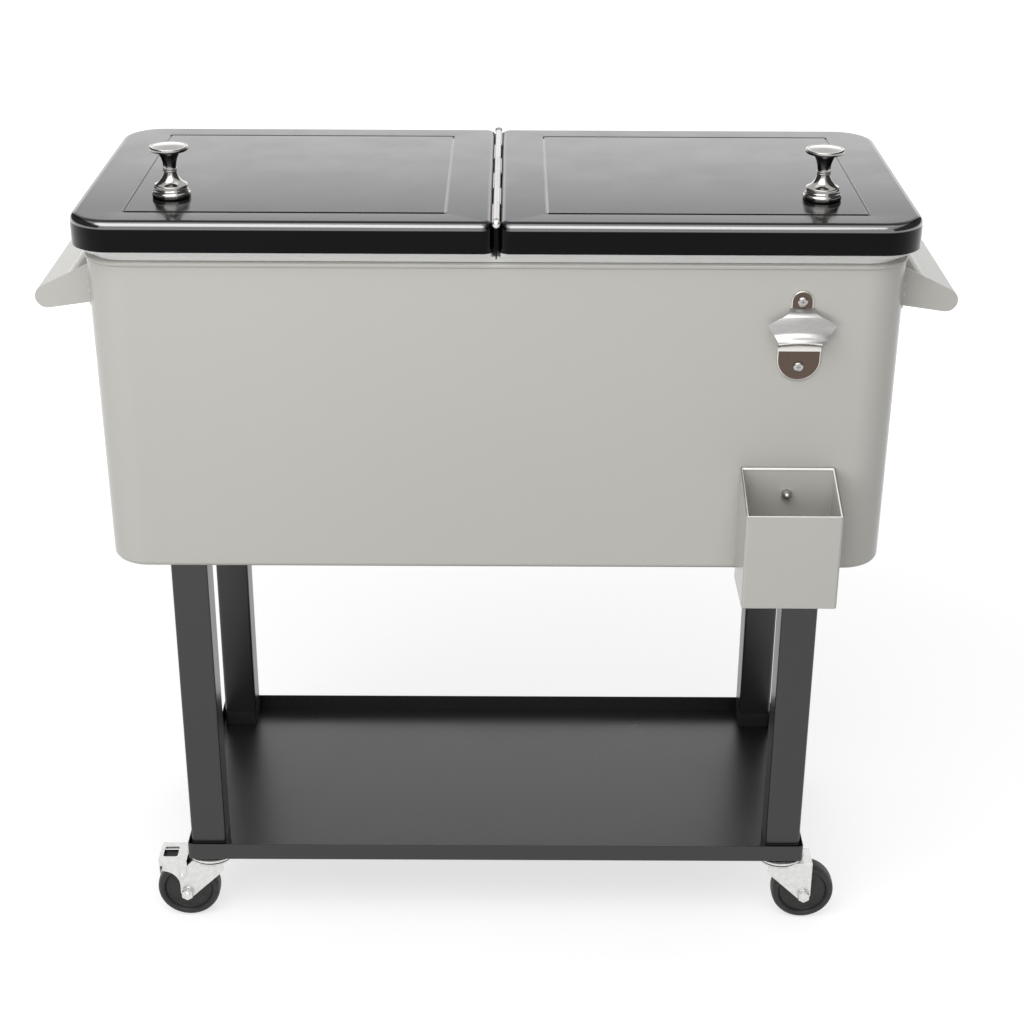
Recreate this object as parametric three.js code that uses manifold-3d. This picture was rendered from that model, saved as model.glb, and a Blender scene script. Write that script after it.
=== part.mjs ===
// Rolling patio cooler: an insulated tub with two wing lids on a centre piano hinge, carried on
// four square legs over a shelf tray and four swivel casters. Millimetres, +X right, +Y back,
// +Z up. The floor is z = 0 and the model stands over the origin by the middle of its outer box.

import * as THREE from 'three';
import { mergeVertices } from 'three/addons/utils/BufferGeometryUtils.js';
import Module from 'manifold-3d';

const wasm = await Module();
wasm.setup();

// Clearances
const CLEARANCE = 0.3;        // between seated pieces
const SHAFT_CLEARANCE = 0.4;  // radial, round a shaft in its hole
const KNUCKLE_GAP = 0.5;      // along the pin, between two knuckles

// Casters
const CASTER_HEIGHT = 90;     // floor to the underside of the tray
const WHEEL_DIAMETER = 75;
const WHEEL_SIDES = 20;
const TREAD_WIDTH = 23;
const TREAD_ROUND = 4;
const HUB_DIAMETER = 18;
const HUB_WIDTH = 26;
const WHEEL_RECESS_DIAMETER = 55;
const WHEEL_WEB = 12;
const AXLE_DIAMETER = 8;
const AXLE_HEX = 13;
const AXLE_HEX_HEIGHT = 6;
const CASTER_TRAIL = 30;
const FORK_SHEET = 2.5;
const FORK_GAP = 28;          // between the two side plates
const FORK_BOSS_DIAMETER = 17;
const FORK_CROWN_DIAMETER = 44;
const FORK_FRONT = 14;        // reach of the side plates ahead of the swivel axis
const FORK_CHEEK = 14;        // depth of the side plates' front edge before they slope
const FORK_WING_DROP = 6;     // from the crown to the top of a braked fork's wings
const FORK_WING_END = 58.5;   // their reach behind the swivel axis
const FORK_WING_DEPTH = 8.5;
const RACE_DIAMETER = 44;
const RACE_DEPTH = 8;
const RACE_LIP = 2.5;
const STEM_DIAMETER = 10;
const STEM_LENGTH = 36;       // above the underside of the tray
const KINGPIN_DIAMETER = 8;
const KINGPIN_HEAD_DIAMETER = 13;
const KINGPIN_HEAD_HEIGHT = 2.5;

// Brake pedal of a locking caster
const PEDAL_SHEET = 1.6;
const PEDAL_GAP = 0.5;        // between the fork and the pedal's side flanges
const PEDAL_RISE = 2.4;       // top of the pedal over the top of the crown
const PEDAL_START = 28.5;
const PEDAL_END = 62;
const PEDAL_FLANGE = 8;
const PEDAL_LIP = 19;
const PEDAL_PIVOT_X = 35;
const PEDAL_PIVOT_Z = 61;
const PEDAL_EAR_RADIUS = 5;
const PEDAL_HOLE_LENGTH = 17;
const PEDAL_HOLE_WIDTH = 20;
const PEDAL_HOLE_FROM_END = 4.5;
const PEDAL_PAD_DROP = 10;
const PEDAL_RIVET_DIAMETER = 5;

// Tray and legs
const LEG_INSET_SIDE = 67.5;  // from the tub's end faces to the legs' outer faces
const LEG_INSET_FRONT = 13.5; // from the tub's front and back to the legs' faces
const LEG_SIZE = 40;
const LEG_WALL = 1.6;
const LEG_ROUND = 3;
const LEG_LENGTH = 366;
const LEG_TOP_PLATE = 3;
const LEG_BOLT_DIAMETER = 8;
const LEG_BOLT_HEAD_DIAMETER = 14;
const LEG_BOLT_HEAD_HEIGHT = 5;
const FOOT_HEIGHT = 20;       // the part of the foot that shows below the tube
const FOOT_SPIGOT = 22;
const TRAY_SHEET = 1.5;
const TRAY_LIP = 21;
const TRAY_ROUND = 3;
const TRAY_GAP = 3;           // from a leg to the lip beside it

// Tub
const TUB_CORNER = 46;
const TUB_DRAFT = 3;          // how far each wall leans in from the rim to the bottom
const SHELL_HEIGHT = 347;
const SHELL_SHEET = 1.5;
const SHELL_EDGE = 6;         // round between the walls and the bottom
const BEAD = 1.8;             // how far the rolled bead stands out below the rim
const BEAD_HEIGHT = 5;
const SHELL_LIP = 14;         // width of the turned-in lip that carries the liner
const LINER_WALL = 3;
const FOAM = 25;              // insulation between the shell and the liner
const CAVITY_CORNER = 34;
const CAVITY_FLOOR_ROUND = 10;
const RIM_FLANGE = 6;
const RIM_INSET = 5;          // from the shell's face to the edge of the liner's flange
const FOAM_GAP = 0.5;

// Lids
const LID_WIDTH = 871;        // over both lids, closed
const LID_DEPTH = 386;
const LID_OVERHANG_SIDE = 11;
const LID_OVERHANG_FRONT = 11.5;
const LID_SKIRT = 32;
const LID_SHEET = 1.2;
const LID_FILLET = 8;
const LID_CORNER = 45;
const SEAM_CORNER = 12;
const SEAM_WIDTH = 5;
const LINER_DROP = 7;         // how far the lid's liner shows below the skirt
const LID_LINER_INSET = 9;
const LID_LINER_WALL = 2.5;
const LID_LINER_HEIGHT = 15;
const LID_FLANGE = 2.5;
const GROOVE_WIDTH = 3;
const GROOVE_DEPTH = 0.7;
const GROOVE_OUTER = 56;      // from the lid's outer edge to the pressed groove
const GROOVE_SIDE = 37;       // from the lid's front and back edges
const GROOVE_SEAM = 52;       // from the centre of the seam

// Piano hinge
const HINGE_DROP = 1.5;       // pin axis below the lids' top faces
const KNUCKLE_DIAMETER = 7;
const KNUCKLE_COUNT = 6;
const KNUCKLE_SIDES = 16;
const PIN_DIAMETER = 4;
const PIN_CAP_DIAMETER = 9.2;
const PIN_CAP_LENGTH = 7.4;
const HINGE_INSET = 6;         // from the lids' front and back to the ends of the hinge
const EYE_LENGTH = 6;
const LEAF_SHEET = 1;
const LEAF_HEIGHT = 24;
const WEB_SHEET = 1.4;
const HINGE_BAR_WIDTH = 28;
const HINGE_BAR_HEIGHT = 13;
const HINGE_BAR_SHEET = 1.5;
const HINGE_BAR_TAB = 22;

// Knobs
const KNOB_FROM_SIDE = 96.5;
const KNOB_FROM_FRONT = 95;
const KNOB_HEIGHT = 54;
const KNOB_TOP_DIAMETER = 40.5;
const KNOB_BASE_DIAMETER = 40;
const KNOB_WAIST_DIAMETER = 13.5;
const KNOB_SCREW_DIAMETER = 6;
const KNOB_SCREW_HEAD_DIAMETER = 12;
const KNOB_SCREW_HEAD_HEIGHT = 3.5;
const KNOB_SCREW_REACH = 12;

// Side handles
const HANDLE_SHEET = 2;
const HANDLE_SPAN = 234;      // over the outer faces of the two arms
const HANDLE_TOP_DROP = 20;   // from the top of the shell to the top of an arm's root
const HANDLE_ROOT = 44;       // height of an arm at the tub
const HANDLE_REACH = 51;      // tub to the centre of the arm's round tip
const HANDLE_TIP_DROP = 39;   // from the top of the root to the centre of the tip
const HANDLE_TIP_RADIUS = 12.4;
const HANDLE_CURL_RADIUS = 9;
const HANDLE_CURL_REACH = 23.5;
const HANDLE_FLANGE = 17;

// Bottle opener
const OPENER_FROM_SIDE = 111;
const OPENER_TOP = 27;        // top of the tab below the top of the shell
const OPENER_SHEET = 2;
const OPENER_TAB_WIDTH = 22.6;
const OPENER_TAB_HEIGHT = 18;
const OPENER_HOOD_TIPS = 69;   // across the hood's two side tips
const OPENER_HOOD_MOUTH = 45;  // across its lower edge
const OPENER_HOOD_REACH = 20;
const OPENER_HOOD_HEIGHT = 33;
const OPENER_HOOD_ARCH = 6;
const OPENER_PLATE_WIDTH = 45;
const OPENER_PLATE_DROP = 64;  // top of the tab to the straight edge of the lower plate
const OPENER_PLATE_HEIGHT = 33;
const OPENER_LIP = 9;
const OPENER_SCREW_DIAMETER = 4.4;
const OPENER_SCREW_HEAD_DIAMETER = 11;
const OPENER_SCREW_HEAD_HEIGHT = 3;
const OPENER_SCREW_LENGTH = 12;
const OPENER_SCREW_FROM_TOP = 11.3;
const OPENER_SCREW_FROM_BOTTOM = 15;

// Cap catcher
const CATCHER_FROM_SIDE = 114;
const CATCHER_WIDTH = 101;
const CATCHER_DEPTH = 75;
const CATCHER_SHEET = 1.5;
const CATCHER_CORNER = 3;
const CATCHER_BACK_HEIGHT = 131;
const CATCHER_FRONT_HEIGHT = 107;
const CATCHER_HANG = 8.4;     // how far it reaches below the tub's bottom
const CATCHER_BOLT_FROM_TOP = 30;
const CATCHER_BOLT_DIAMETER = 6;
const CATCHER_BOLT_HEAD_DIAMETER = 12;
const CATCHER_BOLT_HEAD_HEIGHT = 2;
const CAP_NUT_HEX = 10;
const CAP_NUT_HEIGHT = 11;

// Drain
const DRAIN_FROM_SIDE = 124.5;
const DRAIN_ABOVE_FLOOR = 30;
const DRAIN_TUBE_DIAMETER = 22;
const DRAIN_WALL = 3;
const DRAIN_FLANGE_DIAMETER = 40;
const DRAIN_FLANGE = 3.5;
const DRAIN_SPOUT = 14;
const DRAIN_NUT_DIAMETER = 34;
const DRAIN_NUT_HEIGHT = 6;
const DRAIN_CAP_WALL = 2.5;
const DRAIN_CAP_RIBS = 8;

// Places across the tub, worked out from the lid's size
const TUB_WIDTH = LID_WIDTH - 2 * LID_OVERHANG_SIDE;
const TUB_DEPTH = LID_DEPTH - 2 * LID_OVERHANG_FRONT;
const LEG_SPAN_X = TUB_WIDTH - 2 * LEG_INSET_SIDE - LEG_SIZE;
const LEG_SPAN_Y = TUB_DEPTH - 2 * LEG_INSET_FRONT - LEG_SIZE;
const HINGE_LENGTH = LID_DEPTH - 2 * HINGE_INSET;
const KNOB_X = LID_WIDTH / 2 - KNOB_FROM_SIDE;
const KNOB_Y = KNOB_FROM_FRONT - LID_DEPTH / 2;
const OPENER_X = TUB_WIDTH / 2 - OPENER_FROM_SIDE;
const CATCHER_X = TUB_WIDTH / 2 - CATCHER_FROM_SIDE;
const DRAIN_X = DRAIN_FROM_SIDE - TUB_WIDTH / 2;

// Heights from the floor up, each seated on the last
const TRAY_FLOOR = CASTER_HEIGHT + TRAY_SHEET;
const FOOT_BOTTOM = TRAY_FLOOR + CLEARANCE;
const LEG_BOTTOM = FOOT_BOTTOM + FOOT_HEIGHT + CLEARANCE;
const LEG_TOP = LEG_BOTTOM + LEG_LENGTH;
const SHELL_BOTTOM = LEG_TOP + CLEARANCE;
const SHELL_TOP = SHELL_BOTTOM + SHELL_HEIGHT;
const FLANGE_BOTTOM = SHELL_TOP + CLEARANCE;
const RIM_TOP = FLANGE_BOTTOM + RIM_FLANGE;
const LID_LINER_BOTTOM = RIM_TOP + CLEARANCE;
const SKIRT_BOTTOM = LID_LINER_BOTTOM + LINER_DROP;
const LID_TOP = SKIRT_BOTTOM + LID_SKIRT;
const PIN_HEIGHT = LID_TOP - HINGE_DROP;
const CAVITY_INSET = SHELL_SHEET + FOAM + LINER_WALL + FOAM_GAP;
const CAVITY_FLOOR = SHELL_BOTTOM + CAVITY_INSET;
const TRAY_WIDTH = LEG_SPAN_X + LEG_SIZE + 2 * (TRAY_GAP + TRAY_SHEET);
const TRAY_DEPTH = LEG_SPAN_Y + LEG_SIZE + 2 * (TRAY_GAP + TRAY_SHEET);
const AXLE_HEIGHT = (WHEEL_DIAMETER / 2) * Math.cos(Math.PI / WHEEL_SIDES);

// Finishes: colour, roughness, metalness
const FINISHES = {
  tubPaint: [0xbdbbb5, 0.35, 0.1],
  blackEnamel: [0x161616, 0.15, 0.2],
  blackPowder: [0x1d1d1d, 0.5, 0.2],
  whitePlastic: [0xf2f1ee, 0.45, 0],
  blackPlastic: [0x1a1a1a, 0.6, 0],
  foam: [0xe6dcae, 0.9, 0],
  chrome: [0xd6d6d6, 0.12, 1],
  stainless: [0xc3c1bc, 0.3, 1],
  zinc: [0xd2d3d0, 0.35, 0.9],
};

const cooler = new THREE.Group();

function add(name, geometry, finish) {
  const [color, roughness, metalness] = FINISHES[finish];
  const mesh = new THREE.Mesh(geometry, new THREE.MeshStandardMaterial({ color, roughness, metalness }));
  mesh.name = name;
  cooler.add(mesh);
  return mesh;
}

// Geometry helpers

function signedVolume(positions, index) {
  const a = new THREE.Vector3();
  const b = new THREE.Vector3();
  const c = new THREE.Vector3();
  let volume = 0;
  for (let i = 0; i < index.length; i += 3) {
    a.fromArray(positions, 3 * index[i]);
    b.fromArray(positions, 3 * index[i + 1]);
    c.fromArray(positions, 3 * index[i + 2]);
    volume += a.dot(b.cross(c)) / 6;
  }
  return volume;
}

// Merges shared vertices, drops the slivers at poles and turns every face outwards.
function weld(geometry) {
  const bare = geometry.clone();
  bare.deleteAttribute('normal');
  bare.deleteAttribute('uv');
  const merged = mergeVertices(bare, 1e-4);
  const source = Array.from(merged.index.array);
  const kept = [];
  for (let i = 0; i < source.length; i += 3) {
    const [a, b, c] = source.slice(i, i + 3);
    if (a !== b && b !== c && c !== a) kept.push(a, b, c);
  }
  if (signedVolume(merged.attributes.position.array, kept) < 0) {
    for (let i = 0; i < kept.length; i += 3) [kept[i], kept[i + 1]] = [kept[i + 1], kept[i]];
  }
  merged.setIndex(kept);
  merged.computeVertexNormals();
  return merged;
}

function toSolid(geometry) {
  const welded = weld(geometry);
  return new wasm.Manifold(new wasm.Mesh({
    numProp: 3,
    vertProperties: new Float32Array(welded.attributes.position.array),
    triVerts: new Uint32Array(welded.index.array),
  }));
}

function toGeometry(solid) {
  const mesh = solid.getMesh();
  const geometry = new THREE.BufferGeometry();
  geometry.setAttribute('position', new THREE.BufferAttribute(new Float32Array(mesh.vertProperties), 3));
  geometry.setIndex(Array.from(mesh.triVerts));
  geometry.computeVertexNormals();
  return geometry;
}

function join(...geometries) {
  const [first, ...others] = geometries.map(toSolid);
  return toGeometry(others.reduce((sum, solid) => sum.add(solid), first));
}

function cut(geometry, ...tools) {
  return toGeometry(tools.map(toSolid).reduce((rest, tool) => rest.subtract(tool), toSolid(geometry)));
}

function box(x0, x1, y0, y1, z0, z1) {
  return new THREE.BoxGeometry(x1 - x0, y1 - y0, z1 - z0)
    .translate((x0 + x1) / 2, (y0 + y1) / 2, (z0 + z1) / 2);
}

// A cylinder or prism along Z from z0 to z1.
function post(radius, x, y, z0, z1, sides = 16) {
  return new THREE.CylinderGeometry(radius, radius, z1 - z0, sides)
    .rotateX(Math.PI / 2)
    .translate(x, y, (z0 + z1) / 2);
}

// A cylinder or prism along Y from y0 to y1.
function rod(radius, x, z, y0, y1, sides = 16) {
  return new THREE.CylinderGeometry(radius, radius, y1 - y0, sides)
    .translate(x, (y0 + y1) / 2, z);
}

// Turns a profile of [radius, height] points about Z; it starts and ends on the axis.
function turned(profile, sides) {
  const points = profile.map(([r, z]) => new THREE.Vector2(r, z));
  return weld(new THREE.LatheGeometry(points, sides).rotateX(Math.PI / 2));
}

// Extrudes an outline drawn in X and Z along Y, from y0 to y1.
function sheetXZ(shape, y0, y1, curveSegments = 6) {
  return new THREE.ExtrudeGeometry(shape, { depth: y1 - y0, bevelEnabled: false, curveSegments })
    .rotateX(Math.PI / 2)
    .translate(0, y1, 0);
}

// A rectangle of width by depth round (x, y) with its corners rounded: right back, left back,
// left front and right front, each with the same number of points, however small its radius.
function roundedLoop(x, y, width, depth, radii, steps) {
  const corners = [[1, 1, 0], [-1, 1, 1], [-1, -1, 2], [1, -1, 3]];
  return corners.flatMap(([sx, sy, quarter], corner) => {
    const r = Math.max(radii[corner], 0.01);
    return Array.from({ length: steps + 1 }, (_, step) => {
      const angle = (quarter + step / steps) * Math.PI / 2;
      return [
        x + sx * (width / 2 - r) + r * Math.cos(angle),
        y + sy * (depth / 2 - r) + r * Math.sin(angle),
      ];
    });
  });
}

// Skins a stack of loops of [x, y, z] points. The first and last loops are capped, unless the
// stack closes on itself.
function skin(loops, closed = false) {
  const count = loops[0].length;
  const positions = loops.flat(2);
  const index = [];
  const last = closed ? loops.length : loops.length - 1;
  for (let level = 0; level < last; level += 1) {
    const lower = level * count;
    const upper = ((level + 1) % loops.length) * count;
    for (let i = 0; i < count; i += 1) {
      const next = (i + 1) % count;
      index.push(lower + i, lower + next, upper + next, lower + i, upper + next, upper + i);
    }
  }
  if (!closed) {
    const top = (loops.length - 1) * count;
    for (let i = 1; i < count - 1; i += 1) {
      index.push(0, i + 1, i, top, top + i, top + i + 1);
    }
  }
  const geometry = new THREE.BufferGeometry();
  geometry.setAttribute('position', new THREE.Float32BufferAttribute(positions, 3));
  geometry.setIndex(index);
  return weld(geometry);
}

const atHeight = (loop, z) => loop.map(([x, y]) => [x, y, z]);

// A quarter round as [inset, rise] steps, from the flat face to the wall.
function quarterRound(radius, steps) {
  return Array.from({ length: steps + 1 }, (_, step) => {
    const angle = (step / steps) * Math.PI / 2;
    return [radius * (1 - Math.sin(angle)), radius * (1 - Math.cos(angle))];
  });
}

const mirrored = (geometry) => weld(geometry.clone().scale(-1, 1, 1));

// Tub

const TUB_STEPS = 5;

function tubLoop(inset, z, radius = TUB_CORNER - inset) {
  return atHeight(roundedLoop(
    0, 0, TUB_WIDTH - 2 * inset, TUB_DEPTH - 2 * inset, Array(4).fill(radius), TUB_STEPS,
  ), z);
}

// How far the drafted wall has come in at a height.
const draftAt = (z) => TUB_DRAFT * (SHELL_TOP - BEAD_HEIGHT - z) / (SHELL_HEIGHT - BEAD_HEIGHT);
const frontFaceAt = (z) => -(TUB_DEPTH / 2 - draftAt(z));

function tubShell() {
  const outerEdge = quarterRound(SHELL_EDGE, 3)
    .map(([inset, rise]) => tubLoop(TUB_DRAFT + inset, SHELL_BOTTOM + rise));
  const innerEdge = quarterRound(SHELL_EDGE - SHELL_SHEET, 2).reverse()
    .map(([inset, rise]) => tubLoop(TUB_DRAFT + SHELL_SHEET + inset, SHELL_BOTTOM + SHELL_SHEET + rise));
  const beadBottom = SHELL_TOP - BEAD_HEIGHT;
  return skin([
    ...outerEdge,
    tubLoop(0, beadBottom),
    tubLoop(-BEAD, beadBottom + BEAD),
    tubLoop(-BEAD, SHELL_TOP - BEAD),
    tubLoop(0, SHELL_TOP),
    tubLoop(SHELL_LIP, SHELL_TOP),
    tubLoop(SHELL_LIP, SHELL_TOP - SHELL_SHEET),
    tubLoop(SHELL_SHEET, SHELL_TOP - SHELL_SHEET),
    tubLoop(SHELL_SHEET, beadBottom),
    ...innerEdge,
  ]);
}

function tubLiner() {
  const outside = CAVITY_INSET - LINER_WALL;
  const corner = CAVITY_CORNER + LINER_WALL;
  const round = CAVITY_FLOOR_ROUND + LINER_WALL;
  const rimRound = LINER_WALL / 2;
  const outerEdge = quarterRound(round, 3)
    .map(([inset, rise]) => tubLoop(outside + inset, CAVITY_FLOOR - LINER_WALL + rise, corner - inset));
  const innerEdge = quarterRound(CAVITY_FLOOR_ROUND, 3).reverse()
    .map(([inset, rise]) => tubLoop(CAVITY_INSET + inset, CAVITY_FLOOR + rise, CAVITY_CORNER - inset));
  return skin([
    ...outerEdge,
    tubLoop(outside, FLANGE_BOTTOM, corner),
    tubLoop(RIM_INSET, FLANGE_BOTTOM),
    tubLoop(RIM_INSET, RIM_TOP - rimRound),
    tubLoop(RIM_INSET + rimRound, RIM_TOP),
    tubLoop(CAVITY_INSET - rimRound, RIM_TOP, CAVITY_CORNER + rimRound),
    tubLoop(CAVITY_INSET, RIM_TOP - rimRound, CAVITY_CORNER),
    ...innerEdge,
  ]);
}

function tubFoam() {
  const outer = SHELL_SHEET + FOAM_GAP;
  const inner = CAVITY_INSET - LINER_WALL - FOAM_GAP;
  const top = SHELL_TOP - SHELL_SHEET - FOAM_GAP;
  const innerCorner = CAVITY_CORNER + LINER_WALL + FOAM_GAP;
  const linerEdge = CAVITY_FLOOR_ROUND + LINER_WALL;
  return skin([
    tubLoop(TUB_DRAFT + outer + SHELL_EDGE, SHELL_BOTTOM + outer),
    tubLoop(TUB_DRAFT + outer, SHELL_BOTTOM + outer + SHELL_EDGE),
    tubLoop(outer, SHELL_TOP - BEAD_HEIGHT),
    tubLoop(outer, top),
    tubLoop(inner, top, innerCorner),
    tubLoop(inner, CAVITY_FLOOR + linerEdge, innerCorner),
    tubLoop(inner, CAVITY_FLOOR - LINER_WALL - FOAM_GAP, innerCorner),
  ]);
}

// Lids. The left one is drawn; the right one is its mirror image.

const LID_STEPS = 5;
const LID_LEFT = -LID_WIDTH / 2;
const LID_RIGHT = -SEAM_WIDTH / 2;

function lidLoop(inset, z) {
  const outer = LID_CORNER - inset;
  const seam = Math.max(SEAM_CORNER - inset, 1);
  return atHeight(roundedLoop(
    (LID_LEFT + LID_RIGHT) / 2, 0,
    LID_RIGHT - LID_LEFT - 2 * inset, LID_DEPTH - 2 * inset,
    [seam, outer, outer, seam], LID_STEPS,
  ), z);
}

function rectangleLoop(x0, x1, y0, y1, z) {
  return [[x1, y1, z], [x0, y1, z], [x0, y0, z], [x1, y0, z]];
}

// The pressed line round the panel: a trough of V section with mitred corners.
function grooveCutter() {
  const x0 = LID_LEFT + GROOVE_OUTER;
  const x1 = -GROOVE_SEAM;
  const y0 = -LID_DEPTH / 2 + GROOVE_SIDE;
  const y1 = LID_DEPTH / 2 - GROOVE_SIDE;
  const half = GROOVE_WIDTH / 2;
  const line = (offset, z) => rectangleLoop(x0 - offset, x1 + offset, y0 - offset, y1 + offset, z);
  return skin([
    line(half, LID_TOP + GROOVE_DEPTH),
    line(half, LID_TOP),
    line(0, LID_TOP - GROOVE_DEPTH),
    line(-half, LID_TOP),
    line(-half, LID_TOP + GROOVE_DEPTH),
  ], true);
}

function lidShell() {
  const outside = quarterRound(LID_FILLET, 4)
    .map(([inset, drop]) => lidLoop(inset, LID_TOP - drop));
  const inside = quarterRound(LID_FILLET - LID_SHEET, 3).reverse()
    .map(([inset, drop]) => lidLoop(LID_SHEET + inset, LID_TOP - LID_SHEET - drop));
  const pan = skin([
    ...outside,
    lidLoop(0, SKIRT_BOTTOM),
    lidLoop(LID_SHEET, SKIRT_BOTTOM),
    ...inside,
  ]);
  const screwHole = post(
    KNOB_SCREW_DIAMETER / 2 + SHAFT_CLEARANCE, -KNOB_X, KNOB_Y, LID_TOP - 2 * LID_SHEET, LID_TOP + LID_SHEET,
  );
  return cut(pan, grooveCutter(), screwHole);
}

function lidLiner() {
  const flange = LID_SHEET + CLEARANCE;
  const top = LID_LINER_BOTTOM + LID_LINER_HEIGHT;
  const inner = LID_LINER_INSET + LID_LINER_WALL;
  const edge = LID_LINER_WALL;
  return skin([
    lidLoop(LID_LINER_INSET + edge, LID_LINER_BOTTOM),
    lidLoop(LID_LINER_INSET, LID_LINER_BOTTOM + edge),
    lidLoop(LID_LINER_INSET, top - LID_FLANGE),
    lidLoop(flange, top - LID_FLANGE),
    lidLoop(flange, top),
    lidLoop(inner, top),
    lidLoop(inner, LID_LINER_BOTTOM + LID_LINER_WALL),
  ]);
}

function lidFoam() {
  const inset = LID_LINER_INSET + LID_LINER_WALL + FOAM_GAP;
  const top = LID_TOP - LID_SHEET - CLEARANCE;
  const block = skin([
    lidLoop(inset, LID_LINER_BOTTOM + LID_LINER_WALL + CLEARANCE),
    lidLoop(inset, top),
  ]);
  const pocket = post(
    KNOB_SCREW_HEAD_DIAMETER / 2 + CLEARANCE, -KNOB_X, KNOB_Y,
    top - CLEARANCE - KNOB_SCREW_HEAD_HEIGHT, top + CLEARANCE,
  );
  return cut(block, pocket);
}

// Knob: a shallow disc over a waist that flares to a stepped foot, drawn from its seat up.
function knob() {
  const top = KNOB_TOP_DIAMETER / 2;
  const base = KNOB_BASE_DIAMETER / 2;
  const waist = KNOB_WAIST_DIAMETER / 2;
  const h = KNOB_HEIGHT;
  const body = turned([
    [0, 0], [base, 0], [base, 0.085 * h], [0.91 * base, 0.125 * h], [0.87 * base, 0.22 * h],
    [0.8 * base, 0.247 * h], [1.6 * waist, 0.315 * h], [1.15 * waist, 0.42 * h], [waist, 0.54 * h],
    [1.12 * waist, 0.69 * h], [1.65 * waist, 0.85 * h], [0.9 * top, 0.893 * h], [top, 0.92 * h],
    [top, 0.955 * h], [0.94 * top, 0.985 * h], [0, h],
  ], 20);
  const thread = post(KNOB_SCREW_DIAMETER / 2 + SHAFT_CLEARANCE, 0, 0, -1, KNOB_SCREW_REACH + CLEARANCE, 12);
  return cut(body, thread).translate(-KNOB_X, KNOB_Y, LID_TOP + CLEARANCE);
}

function knobScrew() {
  const r = KNOB_SCREW_DIAMETER / 2;
  const head = KNOB_SCREW_HEAD_DIAMETER / 2;
  const under = LID_TOP - LID_SHEET - CLEARANCE;
  return turned([
    [0, under - KNOB_SCREW_HEAD_HEIGHT], [head - 1, under - KNOB_SCREW_HEAD_HEIGHT],
    [head, under - 0.5 * KNOB_SCREW_HEAD_HEIGHT], [head, under], [r, under],
    [r, LID_TOP + KNOB_SCREW_REACH - 1], [0, LID_TOP + KNOB_SCREW_REACH],
  ], 12).translate(-KNOB_X, KNOB_Y, 0);
}

// Piano hinge. Two leaves with three knuckles each turn on one pin, which two eyes on the fixed
// centre plate hold at its ends.

const KNUCKLE_LENGTH = (HINGE_LENGTH - 2 * EYE_LENGTH - (KNUCKLE_COUNT + 1) * KNUCKLE_GAP) / KNUCKLE_COUNT;
const KNUCKLE_RADIUS = KNUCKLE_DIAMETER / 2;
const LEAF_TOP = PIN_HEIGHT - KNUCKLE_RADIUS - 1;
const LEAF_FACE = SEAM_WIDTH / 2 - CLEARANCE;

function knuckleStart(number) {
  return -HINGE_LENGTH / 2 + EYE_LENGTH + KNUCKLE_GAP + number * (KNUCKLE_LENGTH + KNUCKLE_GAP);
}

function pinBore() {
  const r = PIN_DIAMETER / 2 + CLEARANCE;
  return rod(r, 0, PIN_HEIGHT, -HINGE_LENGTH, HINGE_LENGTH, KNUCKLE_SIDES);
}

// One leaf, in the seam on the side where x has the given sign, with every second knuckle.
function hingeLeaf(sign, firstKnuckle) {
  const near = sign * (LEAF_FACE - LEAF_SHEET);
  const far = sign * LEAF_FACE;
  const x0 = Math.min(near, far);
  const x1 = Math.max(near, far);
  const end = HINGE_LENGTH / 2 - EYE_LENGTH;
  const pieces = [box(x0, x1, -end, end, LEAF_TOP - LEAF_HEIGHT, LEAF_TOP)];
  for (let number = firstKnuckle; number < KNUCKLE_COUNT; number += 2) {
    const y = knuckleStart(number);
    pieces.push(box(x0, x1, y, y + KNUCKLE_LENGTH, LEAF_TOP - 1, PIN_HEIGHT - KNUCKLE_RADIUS / 2));
    pieces.push(rod(KNUCKLE_RADIUS, 0, PIN_HEIGHT, y, y + KNUCKLE_LENGTH, KNUCKLE_SIDES));
  }
  return cut(join(...pieces), pinBore());
}

function hingePin() {
  const r = PIN_DIAMETER / 2;
  const cap = PIN_CAP_DIAMETER / 2;
  const start = HINGE_LENGTH / 2 + CLEARANCE;
  const half = [
    [r, start], [0.85 * cap, start], [cap, start + 0.2 * PIN_CAP_LENGTH],
    [cap, start + 0.42 * PIN_CAP_LENGTH], [0.86 * cap, start + 0.72 * PIN_CAP_LENGTH],
    [0.5 * cap, start + 0.94 * PIN_CAP_LENGTH], [0, start + PIN_CAP_LENGTH],
  ];
  const other = half.map(([radius, y]) => [radius, -y]).reverse();
  return turned([...other, ...half], 12).rotateX(Math.PI / 2).translate(0, 0, PIN_HEIGHT);
}

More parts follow.
